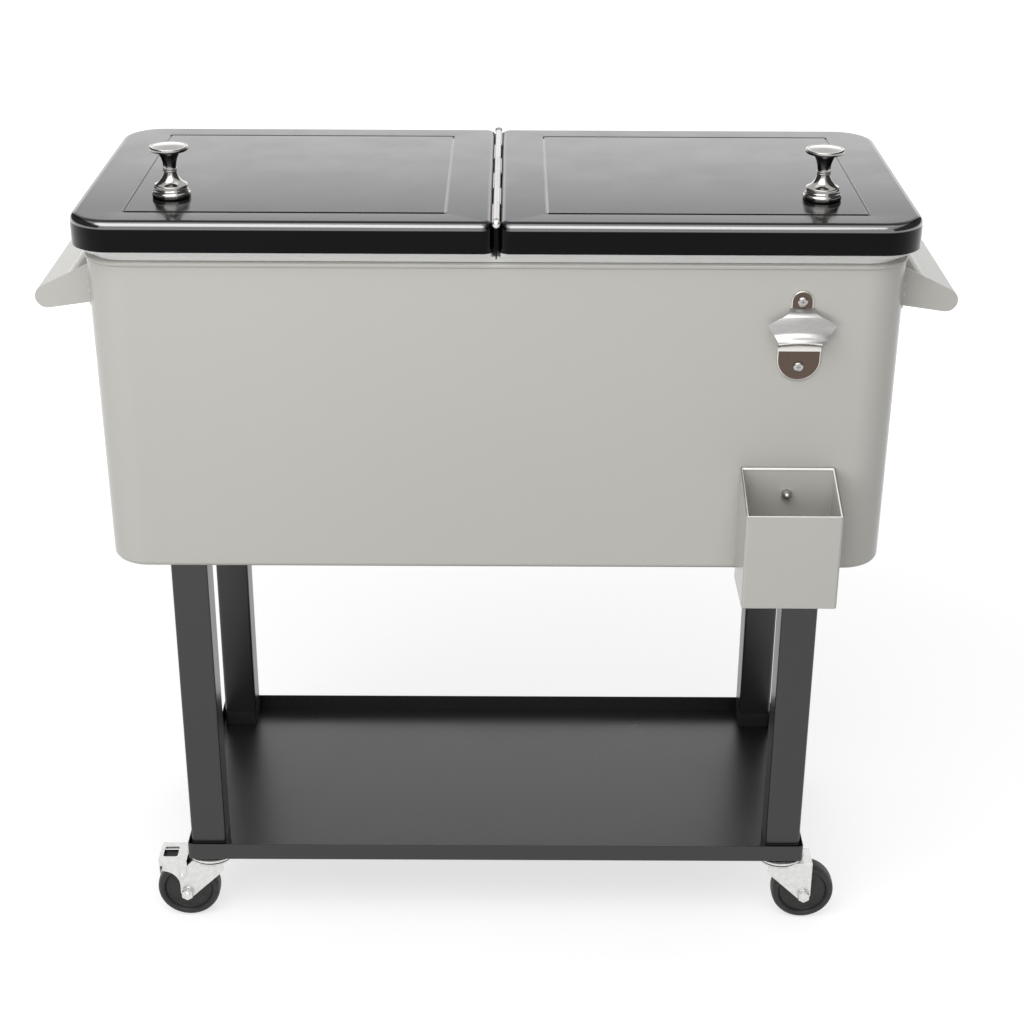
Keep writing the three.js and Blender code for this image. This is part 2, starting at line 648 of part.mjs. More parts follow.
// The fixed centre of the hinge: a channel across the tub's mouth, its end tabs on the liner's
// walls, and a thin plate that rises in the seam between the lids to the two eyes.
function hingeBar() {
  const half = TUB_DEPTH / 2 - CAVITY_INSET - CLEARANCE;
  const width = HINGE_BAR_WIDTH / 2;
  const top = RIM_TOP - CLEARANCE;
  const bottom = top - HINGE_BAR_HEIGHT;
  const t = HINGE_BAR_SHEET;
  const web = WEB_SHEET / 2;
  const end = HINGE_LENGTH / 2;
  const channel = cut(
    box(-width, width, -half, half, bottom, top),
    box(-width + t, width - t, -half + t, half - t, bottom - 1, top - t),
  );
  const tabs = [-1, 1].map((side) => {
    const y = side * (half - t / 2);
    return box(-width, width, y - t / 2, y + t / 2, top - HINGE_BAR_TAB, top - t);
  });
  const plate = join(
    box(-web, web, -end, end, RIM_TOP + CLEARANCE, LEAF_TOP - 2),
    box(-web, web, -half, half, top - t / 2, RIM_TOP + 2 * CLEARANCE),
  );
  const eyes = [-1, 1].flatMap((side) => {
    const y0 = Math.min(side * end, side * (end - EYE_LENGTH));
    return [
      rod(KNUCKLE_RADIUS, 0, PIN_HEIGHT, y0, y0 + EYE_LENGTH, KNUCKLE_SIDES),
      box(-web, web, y0, y0 + EYE_LENGTH, LEAF_TOP - 3, PIN_HEIGHT - KNUCKLE_RADIUS / 2),
    ];
  });
  return cut(join(channel, ...tabs, plate, ...eyes), pinBore());
}

// Side handle, drawn on the left. Two tapered arms with flanges on the tub, and one sheet that
// runs from a curl near the tub down the slope and round the arms' tips.

const HANDLE_SEAT = TUB_WIDTH / 2 + CLEARANCE;
const HANDLE_ROOT_TOP = SHELL_TOP - HANDLE_TOP_DROP;

// The direction angle of the line from a point that touches a circle on its upper or lower side.
function tangentAngle([x, z], [cx, cz], radius, side) {
  const distance = Math.hypot(cx - x, cz - z);
  return Math.atan2(cz - z, cx - x) + side * Math.asin(radius / distance);
}

function sideHandle() {
  const tip = [HANDLE_REACH, HANDLE_ROOT_TOP - HANDLE_TIP_DROP];
  const rootTop = [0, HANDLE_ROOT_TOP];
  const rootBottom = [0, HANDLE_ROOT_TOP - HANDLE_ROOT];
  const topLine = tangentAngle(rootTop, tip, HANDLE_TIP_RADIUS, 1);
  const bottomLine = tangentAngle(rootBottom, tip, HANDLE_TIP_RADIUS, -1);
  const topNormal = topLine + Math.PI / 2;
  const bottomNormal = bottomLine - Math.PI / 2;

  const arm = new THREE.Shape();
  arm.moveTo(...rootTop);
  arm.lineTo(...rootBottom);
  arm.absarc(...tip, HANDLE_TIP_RADIUS, bottomNormal, topNormal, false);
  arm.closePath();

  // The curl's centre lies one curl radius below the arms' sloping edge.
  const foot = HANDLE_CURL_REACH - HANDLE_CURL_RADIUS * Math.cos(topNormal);
  const curl = [HANDLE_CURL_REACH, HANDLE_ROOT_TOP + (foot + 2 * HANDLE_CURL_RADIUS * Math.cos(topNormal))
    * Math.tan(topLine) - HANDLE_CURL_RADIUS * Math.sin(topNormal)];
  const curlEnd = topNormal + 0.68 * Math.PI;
  const underEnd = -0.62 * Math.PI;
  const grip = new THREE.Shape();
  grip.absarc(...tip, HANDLE_TIP_RADIUS, underEnd, topNormal, false);
  grip.absarc(...curl, HANDLE_CURL_RADIUS, topNormal, curlEnd, false);
  grip.absarc(...curl, HANDLE_CURL_RADIUS - HANDLE_SHEET, curlEnd, topNormal, true);
  grip.absarc(...tip, HANDLE_TIP_RADIUS - HANDLE_SHEET, topNormal, underEnd, true);
  grip.closePath();

  const half = HANDLE_SPAN / 2;
  const pieces = [sheetXZ(grip, -half + HANDLE_SHEET / 2, half - HANDLE_SHEET / 2)];
  for (const side of [-1, 1]) {
    const outerFace = side * half;
    const innerFace = side * (half - HANDLE_SHEET);
    const flangeEnd = side * (half + HANDLE_FLANGE);
    pieces.push(sheetXZ(arm, Math.min(outerFace, innerFace), Math.max(outerFace, innerFace)));
    pieces.push(box(
      0, HANDLE_SHEET, Math.min(innerFace, flangeEnd), Math.max(innerFace, flangeEnd),
      rootBottom[1], rootTop[1],
    ));
  }
  const drawn = join(...pieces);
  return mirrored(drawn.translate(HANDLE_SEAT, 0, 0));
}

// Bottle opener: a tab and a round-bottomed plate on the tub, one above the other, and a hood
// that swells out between them over the mouth.

const OPENER_BACK = frontFaceAt(SHELL_TOP - OPENER_TOP) - CLEARANCE;
const OPENER_TAB_TOP = SHELL_TOP - OPENER_TOP;

// A curved sheet of even thickness over a grid: place(u, v) gives the outer face for u and v in
// 0 to 1, and the inner face lies one thickness behind it.
function curvedSheet(place, across, down, thickness) {
  const outer = [];
  const inner = [];
  const delta = 1e-3;
  for (let j = 0; j <= down; j += 1) {
    for (let i = 0; i <= across; i += 1) {
      const u = i / across;
      const v = j / down;
      const point = place(u, v);
      const du = place(u + delta, v).sub(place(u - delta, v));
      const dv = place(u, v + delta).sub(place(u, v - delta));
      const normal = dv.cross(du).normalize();
      outer.push(point);
      inner.push(point.clone().addScaledVector(normal, -thickness));
    }
  }
  const count = outer.length;
  const positions = [...outer, ...inner].flatMap((point) => point.toArray());
  const index = [];
  const quad = (a, b, c, d) => index.push(a, b, c, a, c, d);
  const at = (i, j) => j * (across + 1) + i;
  for (let j = 0; j < down; j += 1) {
    for (let i = 0; i < across; i += 1) {
      quad(at(i, j), at(i + 1, j), at(i + 1, j + 1), at(i, j + 1));
      quad(count + at(i, j), count + at(i, j + 1), count + at(i + 1, j + 1), count + at(i + 1, j));
    }
    quad(at(0, j), at(0, j + 1), count + at(0, j + 1), count + at(0, j));
    quad(at(across, j), count + at(across, j), count + at(across, j + 1), at(across, j + 1));
  }
  for (let i = 0; i < across; i += 1) {
    quad(at(i, 0), count + at(i, 0), count + at(i + 1, 0), at(i + 1, 0));
    quad(at(i, down), at(i + 1, down), count + at(i + 1, down), count + at(i, down));
  }
  const geometry = new THREE.BufferGeometry();
  geometry.setAttribute('position', new THREE.Float32BufferAttribute(positions, 3));
  geometry.setIndex(index);
  return weld(geometry);
}

function bottleOpener() {
  const back = OPENER_BACK;
  const face = back - OPENER_SHEET;
  const tabHalf = OPENER_TAB_WIDTH / 2;
  const tabBottom = OPENER_TAB_TOP - OPENER_TAB_HEIGHT;
  const tab = new THREE.Shape();
  tab.moveTo(-tabHalf, tabBottom - OPENER_SHEET);
  tab.lineTo(tabHalf, tabBottom - OPENER_SHEET);
  tab.absarc(0, OPENER_TAB_TOP - tabHalf, tabHalf, 0, Math.PI, false);
  tab.closePath();

  const plateTop = OPENER_TAB_TOP - OPENER_PLATE_DROP;
  const plateHalf = OPENER_PLATE_WIDTH / 2;
  const plateBottom = plateTop - OPENER_PLATE_HEIGHT;
  const plate = new THREE.Shape();
  plate.moveTo(-plateHalf, plateTop);
  plate.absarc(0, plateBottom + plateHalf, plateHalf, Math.PI, 2 * Math.PI, false);
  plate.lineTo(plateHalf, plateTop);
  plate.closePath();

  // The lip turned out along the plate's straight edge, and the shoulder and neck behind the hood.
  const lip = box(-plateHalf, plateHalf, back - OPENER_LIP, back, plateTop - OPENER_SHEET, plateTop);
  const shoulderTop = tabBottom - 0.9 * OPENER_HOOD_HEIGHT;
  const shoulder = box(-plateHalf, plateHalf, face, back, plateTop - 1, shoulderTop);
  const neck = box(-tabHalf, tabHalf, face, back, shoulderTop - 1, tabBottom);

  // Down the hood: how far down, half the width, the reach at the middle and the bow towards
  // the wall at the sides, as shares of the whole.
  const tip = OPENER_HOOD_TIPS / 2;
  const rows = [
    [0, tabHalf, 0, 0], [0.13, 1.2 * tabHalf, 0.14, 0.2], [0.52, tip, 0.58, 0.62],
    [0.8, (tip + OPENER_HOOD_MOUTH / 2) / 2, 0.88, 0.45], [1, OPENER_HOOD_MOUTH / 2, 1, 0.3],
  ];
  const hood = curvedSheet((u, v) => {
    const across = 2 * u - 1;
    const place = Math.min(Math.max(v, 0), 0.9999) * (rows.length - 1);
    const number = Math.floor(place);
    const share = v * (rows.length - 1) - number;
    const [drop, half, reach, bow] = rows[number]
      .map((value, column) => THREE.MathUtils.lerp(value, rows[number + 1][column], share));
    const arch = OPENER_HOOD_ARCH * drop * (1 - across * across);
    return new THREE.Vector3(
      half * across,
      face - OPENER_HOOD_REACH * reach * (1 - bow * across * across),
      tabBottom - OPENER_HOOD_HEIGHT * drop + arch,
    );
  }, 10, 4, OPENER_SHEET);

  const body = join(
    sheetXZ(tab, face, back), sheetXZ(plate, face, back), lip, shoulder, neck, hood,
  );
  const holes = openerScrewHeights().map((z) => (
    rod(OPENER_SCREW_DIAMETER / 2 + SHAFT_CLEARANCE, 0, z, face - 1, back + 1, 12)
  ));
  return cut(body, ...holes).translate(OPENER_X, 0, 0);
}

function openerScrewHeights() {
  const bottom = OPENER_TAB_TOP - OPENER_PLATE_DROP - OPENER_PLATE_HEIGHT;
  return [OPENER_TAB_TOP - OPENER_SCREW_FROM_TOP, bottom + OPENER_SCREW_FROM_BOTTOM];
}

// A pan-headed screw along Y, its head in front of the opener.
function openerScrew(z) {
  const r = OPENER_SCREW_DIAMETER / 2;
  const head = OPENER_SCREW_HEAD_DIAMETER / 2;
  const seat = OPENER_SHEET + CLEARANCE;
  const h = OPENER_SCREW_HEAD_HEIGHT;
  return turned([
    [0, seat + h], [0.5 * head, seat + 0.95 * h], [0.85 * head, seat + 0.65 * h],
    [head, seat + 0.25 * h], [head, seat], [r, seat],
    [r, 2 - OPENER_SCREW_LENGTH], [0, -OPENER_SCREW_LENGTH],
  ], 12).rotateX(Math.PI / 2).translate(OPENER_X, OPENER_BACK, z);
}

// Cap catcher: a folded sheet box, open at the top, whose rim slopes down to the front.

const CATCHER_BOTTOM = SHELL_BOTTOM - CATCHER_HANG;
const CATCHER_BACK_TOP = CATCHER_BOTTOM + CATCHER_BACK_HEIGHT;
const CATCHER_BACK = frontFaceAt(CATCHER_BACK_TOP) - CLEARANCE;
const CATCHER_FRONT = CATCHER_BACK - CATCHER_DEPTH;
const CATCHER_BOLT_Z = CATCHER_BACK_TOP - CATCHER_BOLT_FROM_TOP;

function capCatcher() {
  const middle = (CATCHER_BACK + CATCHER_FRONT) / 2;
  const loop = (inset) => roundedLoop(
    CATCHER_X, middle, CATCHER_WIDTH - 2 * inset, CATCHER_DEPTH - 2 * inset,
    Array(4).fill(CATCHER_CORNER - inset), 2,
  );
  const slope = (CATCHER_BACK_HEIGHT - CATCHER_FRONT_HEIGHT) / CATCHER_DEPTH;
  const rim = (points) => points.map(([x, y]) => [x, y, CATCHER_BACK_TOP - (CATCHER_BACK - y) * slope]);
  const walls = skin([
    atHeight(loop(0), CATCHER_BOTTOM),
    rim(loop(0)),
    rim(loop(CATCHER_SHEET)),
    atHeight(loop(CATCHER_SHEET), CATCHER_BOTTOM + CATCHER_SHEET),
  ]);
  const hole = rod(
    CATCHER_BOLT_DIAMETER / 2 + SHAFT_CLEARANCE, CATCHER_X, CATCHER_BOLT_Z,
    CATCHER_BACK - 2 * CATCHER_SHEET, CATCHER_BACK + 1, 12,
  );
  return cut(walls, hole);
}

const SHELL_BACK_OF_BOLT = frontFaceAt(CATCHER_BOLT_Z) + SHELL_SHEET + CLEARANCE;
const CAP_NUT_SEAT = CATCHER_BACK - CATCHER_SHEET - CLEARANCE;

function catcherBolt() {
  const r = CATCHER_BOLT_DIAMETER / 2;
  const head = CATCHER_BOLT_HEAD_DIAMETER / 2;
  const reach = SHELL_BACK_OF_BOLT - CAP_NUT_SEAT + 0.6 * CAP_NUT_HEIGHT;
  return turned([
    [0, reach], [r, reach - 0.5], [r, 0], [head, 0],
    [head, -CATCHER_BOLT_HEAD_HEIGHT], [0, -CATCHER_BOLT_HEAD_HEIGHT],
  ], 12).rotateX(Math.PI / 2).translate(CATCHER_X, SHELL_BACK_OF_BOLT, CATCHER_BOLT_Z);
}

function catcherCapNut() {
  const radius = CAP_NUT_HEX / Math.sqrt(3);
  const hexHeight = 0.5 * CAP_NUT_HEIGHT;
  const dome = 0.46 * CAP_NUT_HEX;
  const body = join(
    post(radius, 0, 0, 0, hexHeight, 6),
    turned([
      [0, 0.5], [dome, 0.5], [dome, hexHeight + 1], [0.8 * dome, 0.82 * CAP_NUT_HEIGHT],
      [0.45 * dome, 0.96 * CAP_NUT_HEIGHT], [0, CAP_NUT_HEIGHT],
    ], 16),
  );
  const thread = post(CATCHER_BOLT_DIAMETER / 2 + SHAFT_CLEARANCE, 0, 0, -1, 0.7 * CAP_NUT_HEIGHT, 12);
  return cut(body, thread).rotateX(Math.PI / 2).translate(CATCHER_X, CAP_NUT_SEAT, CATCHER_BOLT_Z);
}

// Drain, low in the back wall: a flanged spout through the wall, its nut inside and a screw cap.

const DRAIN_Z = CAVITY_FLOOR + DRAIN_ABOVE_FLOOR;
const DRAIN_SEAT = -frontFaceAt(DRAIN_Z + DRAIN_FLANGE_DIAMETER / 2) + CLEARANCE;
const DRAIN_INSIDE = TUB_DEPTH / 2 - CAVITY_INSET;
const DRAIN_RADIUS = DRAIN_TUBE_DIAMETER / 2;

const alongY = (geometry, y) => geometry.rotateX(-Math.PI / 2).translate(DRAIN_X, y, DRAIN_Z);

function drainSpout() {
  const inner = DRAIN_RADIUS - DRAIN_WALL;
  const inside = DRAIN_SEAT - DRAIN_INSIDE + DRAIN_NUT_HEIGHT + 2 * CLEARANCE;
  const flange = DRAIN_FLANGE_DIAMETER / 2;
  const profile = [
    [inner, -inside], [DRAIN_RADIUS, -inside], [DRAIN_RADIUS, 0], [flange, 0],
    [flange, 0.6 * DRAIN_FLANGE], [flange - 1.5, DRAIN_FLANGE], [DRAIN_RADIUS, DRAIN_FLANGE],
    [DRAIN_RADIUS, DRAIN_FLANGE + DRAIN_SPOUT], [inner, DRAIN_FLANGE + DRAIN_SPOUT], [inner, -inside],
  ];
  return alongY(turned(profile, 16), DRAIN_SEAT);
}

function drainNut() {
  const radius = DRAIN_NUT_DIAMETER / 2;
  const bore = DRAIN_RADIUS + SHAFT_CLEARANCE;
  const body = new THREE.CylinderGeometry(radius, radius, DRAIN_NUT_HEIGHT, 8).rotateX(Math.PI / 2);
  const nut = cut(body, post(bore, 0, 0, -DRAIN_NUT_HEIGHT, DRAIN_NUT_HEIGHT, 16));
  return alongY(nut, DRAIN_INSIDE - CLEARANCE - DRAIN_NUT_HEIGHT / 2);
}

function drainCap() {
  const bore = DRAIN_RADIUS + SHAFT_CLEARANCE;
  const outer = bore + DRAIN_CAP_WALL;
  const open = DRAIN_SEAT + DRAIN_FLANGE + CLEARANCE;
  const depth = DRAIN_SPOUT + CLEARANCE;
  const cup = turned([
    [bore, 0], [outer, 0], [outer, depth + 0.6 * DRAIN_CAP_WALL],
    [outer - 1, depth + DRAIN_CAP_WALL], [0, depth + DRAIN_CAP_WALL], [0, depth], [bore, depth], [bore, 0],
  ], 16);
  const ribs = Array.from({ length: DRAIN_CAP_RIBS }, (_, number) => (
    box(outer - 0.5, outer + 0.8, -0.9, 0.9, 1, depth).rotateZ(number * 2 * Math.PI / DRAIN_CAP_RIBS)
  ));
  return alongY(join(cup, ...ribs), open);
}

// Legs and tray

const LEG_CORNERS = [
  ['front_left', -1, -1], ['front_right', 1, -1], ['rear_left', -1, 1], ['rear_right', 1, 1],
];

function legLoop(x, y, inset, z) {
  const size = LEG_SIZE - 2 * inset;
  return atHeight(roundedLoop(x, y, size, size, Array(4).fill(LEG_ROUND - inset), 2), z);
}

function leg(x, y) {
  const tube = skin([
    legLoop(x, y, 0, LEG_TOP),
    legLoop(x, y, 0, LEG_BOTTOM),
    legLoop(x, y, LEG_WALL, LEG_BOTTOM),
    legLoop(x, y, LEG_WALL, LEG_TOP - LEG_TOP_PLATE),
  ]);
  return cut(tube, legBoltHole(x, y));
}

function foot(x, y) {
  const spigot = LEG_WALL + CLEARANCE;
  const block = skin([
    legLoop(x, y, 0, FOOT_BOTTOM),
    legLoop(x, y, 0, FOOT_BOTTOM + FOOT_HEIGHT),
    legLoop(x, y, spigot, FOOT_BOTTOM + FOOT_HEIGHT),
    legLoop(x, y, spigot, FOOT_BOTTOM + FOOT_HEIGHT + FOOT_SPIGOT),
  ]);
  return cut(block, stemHole(x, y));
}

function stemHole(x, y) {
  const r = STEM_DIAMETER / 2 + SHAFT_CLEARANCE;
  return post(r, x, y, CASTER_HEIGHT - 1, CASTER_HEIGHT + STEM_LENGTH + 2, 10);
}

function legBoltHole(x, y) {
  const r = LEG_BOLT_DIAMETER / 2 + SHAFT_CLEARANCE;
  return post(r, x, y, LEG_TOP - 2 * LEG_TOP_PLATE, SHELL_BOTTOM + SHELL_SHEET + 1, 8);
}

// The bolt that holds a leg to the tub's bottom, with its nut run up under the leg's top plate.
function legBolt(x, y) {
  const r = LEG_BOLT_DIAMETER / 2;
  const head = LEG_BOLT_HEAD_DIAMETER / 2;
  const top = SHELL_BOTTOM + SHELL_SHEET + CLEARANCE;
  const nut = LEG_TOP - LEG_TOP_PLATE - CLEARANCE;
  return turned([
    [0, top + LEG_BOLT_HEAD_HEIGHT], [head, top + LEG_BOLT_HEAD_HEIGHT], [head, top], [r, top],
    [r, nut], [head, nut], [head, nut - LEG_BOLT_HEAD_HEIGHT], [r, nut - LEG_BOLT_HEAD_HEIGHT],
    [r, nut - 2 * LEG_BOLT_HEAD_HEIGHT], [0, nut - 2 * LEG_BOLT_HEAD_HEIGHT],
  ], 8).translate(x, y, 0);
}

function legBoltPocket(x, y) {
  const top = SHELL_BOTTOM + SHELL_SHEET + CLEARANCE + LEG_BOLT_HEAD_HEIGHT;
  return post(LEG_BOLT_HEAD_DIAMETER / 2 + CLEARANCE, x, y, SHELL_BOTTOM, top + CLEARANCE, 8);
}

function tray() {
  const loop = (inset, z) => atHeight(roundedLoop(
    0, 0, TRAY_WIDTH - 2 * inset, TRAY_DEPTH - 2 * inset, Array(4).fill(TRAY_ROUND - inset), 2,
  ), z);
  const top = CASTER_HEIGHT + TRAY_LIP;
  const pan = skin([
    loop(0, CASTER_HEIGHT), loop(0, top), loop(TRAY_SHEET, top), loop(TRAY_SHEET, TRAY_FLOOR),
  ]);
  const holes = LEG_CORNERS.map(([, sx, sy]) => stemHole(sx * LEG_SPAN_X / 2, sy * LEG_SPAN_Y / 2));
  return cut(pan, ...holes);
}

// Casters, drawn with the swivel axis at x = 0 and the wheel trailing towards +X.

const CROWN_TOP = CASTER_HEIGHT - CLEARANCE - RACE_DEPTH - CLEARANCE;
const CROWN_BOTTOM = CROWN_TOP - FORK_SHEET;

function casterStem() {
  const top = CASTER_HEIGHT - CLEARANCE;
  const bottom = top - RACE_DEPTH;
  const race = RACE_DIAMETER / 2;
  const stem = STEM_DIAMETER / 2;
  const pin = KINGPIN_DIAMETER / 2;
  const head = KINGPIN_HEAD_DIAMETER / 2;
  const under = CROWN_BOTTOM - CLEARANCE;
  return turned([
    [0, CASTER_HEIGHT + STEM_LENGTH], [stem, CASTER_HEIGHT + STEM_LENGTH], [stem, top],
    [race, top], [race, top - RACE_LIP], [race - 3, bottom], [pin, bottom], [pin, under],
    [head, under], [head, under - KINGPIN_HEAD_HEIGHT], [0, under - KINGPIN_HEAD_HEIGHT],
  ], 16);
}

// One side plate: a front edge that slopes to the boss at the axle and an upright back edge. A
// braked fork's plate runs on as a wing over the tyre, its lower edge a quarter round.
function forkPlateShape(withBrake) {
  const boss = FORK_BOSS_DIAMETER / 2;
  const axle = [CASTER_TRAIL, AXLE_HEIGHT];
  const cheek = CROWN_TOP - FORK_CHEEK;
  const back = CASTER_TRAIL + boss;
  const front = tangentAngle([-FORK_FRONT, cheek], axle, boss, -1);
  const shape = new THREE.Shape();
  shape.moveTo(-FORK_FRONT, CROWN_TOP);
  shape.lineTo(-FORK_FRONT, cheek);
  shape.absarc(...axle, boss, front - Math.PI / 2, 0, false);
  if (withBrake) {
    const wingTop = CROWN_TOP - FORK_WING_DROP;
    const round = FORK_WING_END - back;
    shape.absarc(FORK_WING_END, wingTop - FORK_WING_DEPTH - round, round, Math.PI, Math.PI / 2, true);
    shape.lineTo(FORK_WING_END, wingTop);
    shape.lineTo(PEDAL_START, wingTop);
    shape.lineTo(PEDAL_START - FORK_WING_DROP, CROWN_TOP);
  } else {
    shape.lineTo(back, CROWN_TOP);
  }
  shape.closePath();
  return shape;
}

function casterFork(withBrake) {
  const inner = FORK_GAP / 2;
  const outer = inner + FORK_SHEET;
  const crownEnd = withBrake ? PEDAL_START - FORK_WING_DROP : CASTER_TRAIL + FORK_BOSS_DIAMETER / 2;
  const crown = join(
    post(FORK_CROWN_DIAMETER / 2, 0, 0, CROWN_BOTTOM, CROWN_TOP, 18),
    box(0, crownEnd, -outer, outer, CROWN_BOTTOM, CROWN_TOP),
  );
  const plates = [[-outer, -inner], [inner, outer]]
    .map(([y0, y1]) => sheetXZ(forkPlateShape(withBrake), y0, y1));
  const holes = [
    post(KINGPIN_DIAMETER / 2 + SHAFT_CLEARANCE, 0, 0, CROWN_BOTTOM - 1, CROWN_TOP + 1, 12),
    rod(AXLE_DIAMETER / 2 + SHAFT_CLEARANCE, CASTER_TRAIL, AXLE_HEIGHT, -outer - 1, outer + 1, 12),
  ];
  if (withBrake) {
    const rivetHole = PEDAL_RIVET_DIAMETER / 2 + SHAFT_CLEARANCE;
    holes.push(rod(rivetHole, PEDAL_PIVOT_X, PEDAL_PIVOT_Z, -outer - 1, outer + 1, 12));
  }
  return cut(join(crown, ...plates), ...holes);
}

function casterWheel() {
  const r = WHEEL_DIAMETER / 2;
  const tread = TREAD_WIDTH / 2;
  const recess = WHEEL_RECESS_DIAMETER / 2;
  const web = WHEEL_WEB / 2;
  const hub = HUB_DIAMETER / 2;
  const hubHalf = HUB_WIDTH / 2;
  const bore = AXLE_DIAMETER / 2 + SHAFT_CLEARANCE;
  const half = [
    [r, tread - 2 * TREAD_ROUND], [r - 0.3 * TREAD_ROUND, tread - 0.3 * TREAD_ROUND],
    [r - TREAD_ROUND, tread], [recess, web], [hub, web], [hub, hubHalf], [bore, hubHalf],
  ];
  const other = half.map(([radius, y]) => [radius, -y]).reverse();
  const halfStep = Math.PI / WHEEL_SIDES;
  return turned([...other, ...half, other[0]], WHEEL_SIDES)
    .rotateZ(halfStep)
    .rotateX(Math.PI / 2)
    .translate(CASTER_TRAIL, 0, AXLE_HEIGHT);
}

function casterAxle() {
  const face = FORK_GAP / 2 + FORK_SHEET + CLEARANCE;
  const hex = AXLE_HEX / Math.sqrt(3);
  const reach = face + AXLE_HEX_HEIGHT;
  return join(
    rod(AXLE_DIAMETER / 2, CASTER_TRAIL, AXLE_HEIGHT, -reach, reach + 1.5, 12),
    rod(hex, CASTER_TRAIL, AXLE_HEIGHT, -reach, -face, 6),
    rod(hex, CASTER_TRAIL, AXLE_HEIGHT, face, reach, 6),
  );
}

// Brake pedal: a pressed channel over the fork's wings, with a finger hole, a turned-down end, a
// pad over the tyre, and an ear on each side that its rivet holds to the fork.
function brakePedal() {
  const inner = FORK_GAP / 2 + FORK_SHEET + PEDAL_GAP;
  const outer = inner + PEDAL_SHEET;
  const topFace = CROWN_TOP + PEDAL_RISE;
  const flangeEdge = topFace - PEDAL_FLANGE;
  const holeEnd = PEDAL_END - PEDAL_HOLE_FROM_END;
  const holeStart = holeEnd - PEDAL_HOLE_LENGTH;
  const holeHalf = PEDAL_HOLE_WIDTH / 2;
  const plate = cut(
    box(PEDAL_START, PEDAL_END, -outer, outer, topFace - PEDAL_SHEET, topFace),
    box(holeStart, holeEnd, -holeHalf, holeHalf, flangeEdge, topFace + 1),
  );
  const pivot = [PEDAL_PIVOT_X, PEDAL_PIVOT_Z];
  const ear = new THREE.Shape();
  ear.moveTo(PEDAL_END, topFace);
  ear.lineTo(PEDAL_START, topFace);
  ear.lineTo(PEDAL_START, flangeEdge);
  ear.absarc(...pivot, PEDAL_EAR_RADIUS, Math.PI, 2 * Math.PI, false);
  ear.lineTo(PEDAL_PIVOT_X + PEDAL_EAR_RADIUS, flangeEdge);
  ear.lineTo(PEDAL_END, flangeEdge);
  ear.closePath();
  const sides = [[-outer, -inner], [inner, outer]].map(([y0, y1]) => sheetXZ(ear, y0, y1));
  const end = box(PEDAL_END - PEDAL_SHEET, PEDAL_END, -outer, outer, topFace - PEDAL_LIP, topFace);
  const pad = box(
    holeStart - PEDAL_SHEET, holeStart, -holeHalf, holeHalf,
    topFace - PEDAL_PAD_DROP, topFace - PEDAL_SHEET / 2,
  );
  const rivets = [-1, 1].map((side) => {
    const y0 = side * (FORK_GAP / 2 + CLEARANCE);
    const y1 = side * (outer + 1.5);
    return rod(PEDAL_RIVET_DIAMETER / 2, ...pivot, Math.min(y0, y1), Math.max(y0, y1), 12);
  });
  return join(plate, ...sides, end, pad, ...rivets);
}

// Assembly

const deckHoles = LEG_CORNERS.map(([, sx, sy]) => [sx * LEG_SPAN_X / 2, sy * LEG_SPAN_Y / 2]);

const fastenerHole = (radius, x, z) => {
  const inside = frontFaceAt(SHELL_BOTTOM) + 4 * SHELL_SHEET;
  return rod(radius + SHAFT_CLEARANCE, x, z, frontFaceAt(SHELL_TOP) - CLEARANCE, inside, 12);
};

const drainHole = () => {
  const r = DRAIN_RADIUS + SHAFT_CLEARANCE;
  return rod(r, DRAIN_X, DRAIN_Z, DRAIN_INSIDE - 1, TUB_DEPTH / 2 + 1, 16);
};

const frontHoles = () => [
  ...openerScrewHeights().map((z) => fastenerHole(OPENER_SCREW_DIAMETER / 2, OPENER_X, z)),
  fastenerHole(CATCHER_BOLT_DIAMETER / 2, CATCHER_X, CATCHER_BOLT_Z),
];

// Room in the foam for the screws' points and the bolts' heads.
const foamPockets = () => {
  const pointEnd = OPENER_BACK + OPENER_SCREW_LENGTH + CLEARANCE;
  const headEnd = SHELL_BACK_OF_BOLT + CATCHER_BOLT_HEAD_HEIGHT + CLEARANCE;
  const front = -TUB_DEPTH / 2;
  return [
    ...openerScrewHeights().map((z) => (
      rod(OPENER_SCREW_DIAMETER / 2 + SHAFT_CLEARANCE, OPENER_X, z, front, pointEnd, 12)
    )),
    rod(CATCHER_BOLT_HEAD_DIAMETER / 2 + CLEARANCE, CATCHER_X, CATCHER_BOLT_Z, front, headEnd, 12),
    ...deckHoles.map(([x, y]) => legBoltPocket(x, y)),
  ];
};

add('tub_shell', cut(
  tubShell(), drainHole(), ...frontHoles(), ...deckHoles.map(([x, y]) => legBoltHole(x, y)),
), 'tubPaint');
add('tub_liner', cut(tubLiner(), drainHole()), 'whitePlastic');
add('tub_insulation', cut(tubFoam(), drainHole(), ...foamPockets()), 'foam');

add('hinge_center_bar', hingeBar(), 'blackPowder');
add('hinge_pin', hingePin(), 'chrome');
add('hinge_leaf_left', hingeLeaf(-1, 0), 'stainless');
add('hinge_leaf_right', hingeLeaf(1, 1), 'stainless');

for (const [side, place] of [['left', weld], ['right', mirrored]]) {
  add(`lid_${side}`, place(lidShell()), 'blackEnamel');
  add(`lid_liner_${side}`, place(lidLiner()), 'whitePlastic');
  add(`lid_insulation_${side}`, place(lidFoam()), 'foam');
  add(`knob_${side}`, place(knob()), 'chrome');
  add(`knob_screw_${side}`, place(knobScrew()), 'zinc');
  add(`handle_${side}`, place(sideHandle()), 'tubPaint');
}

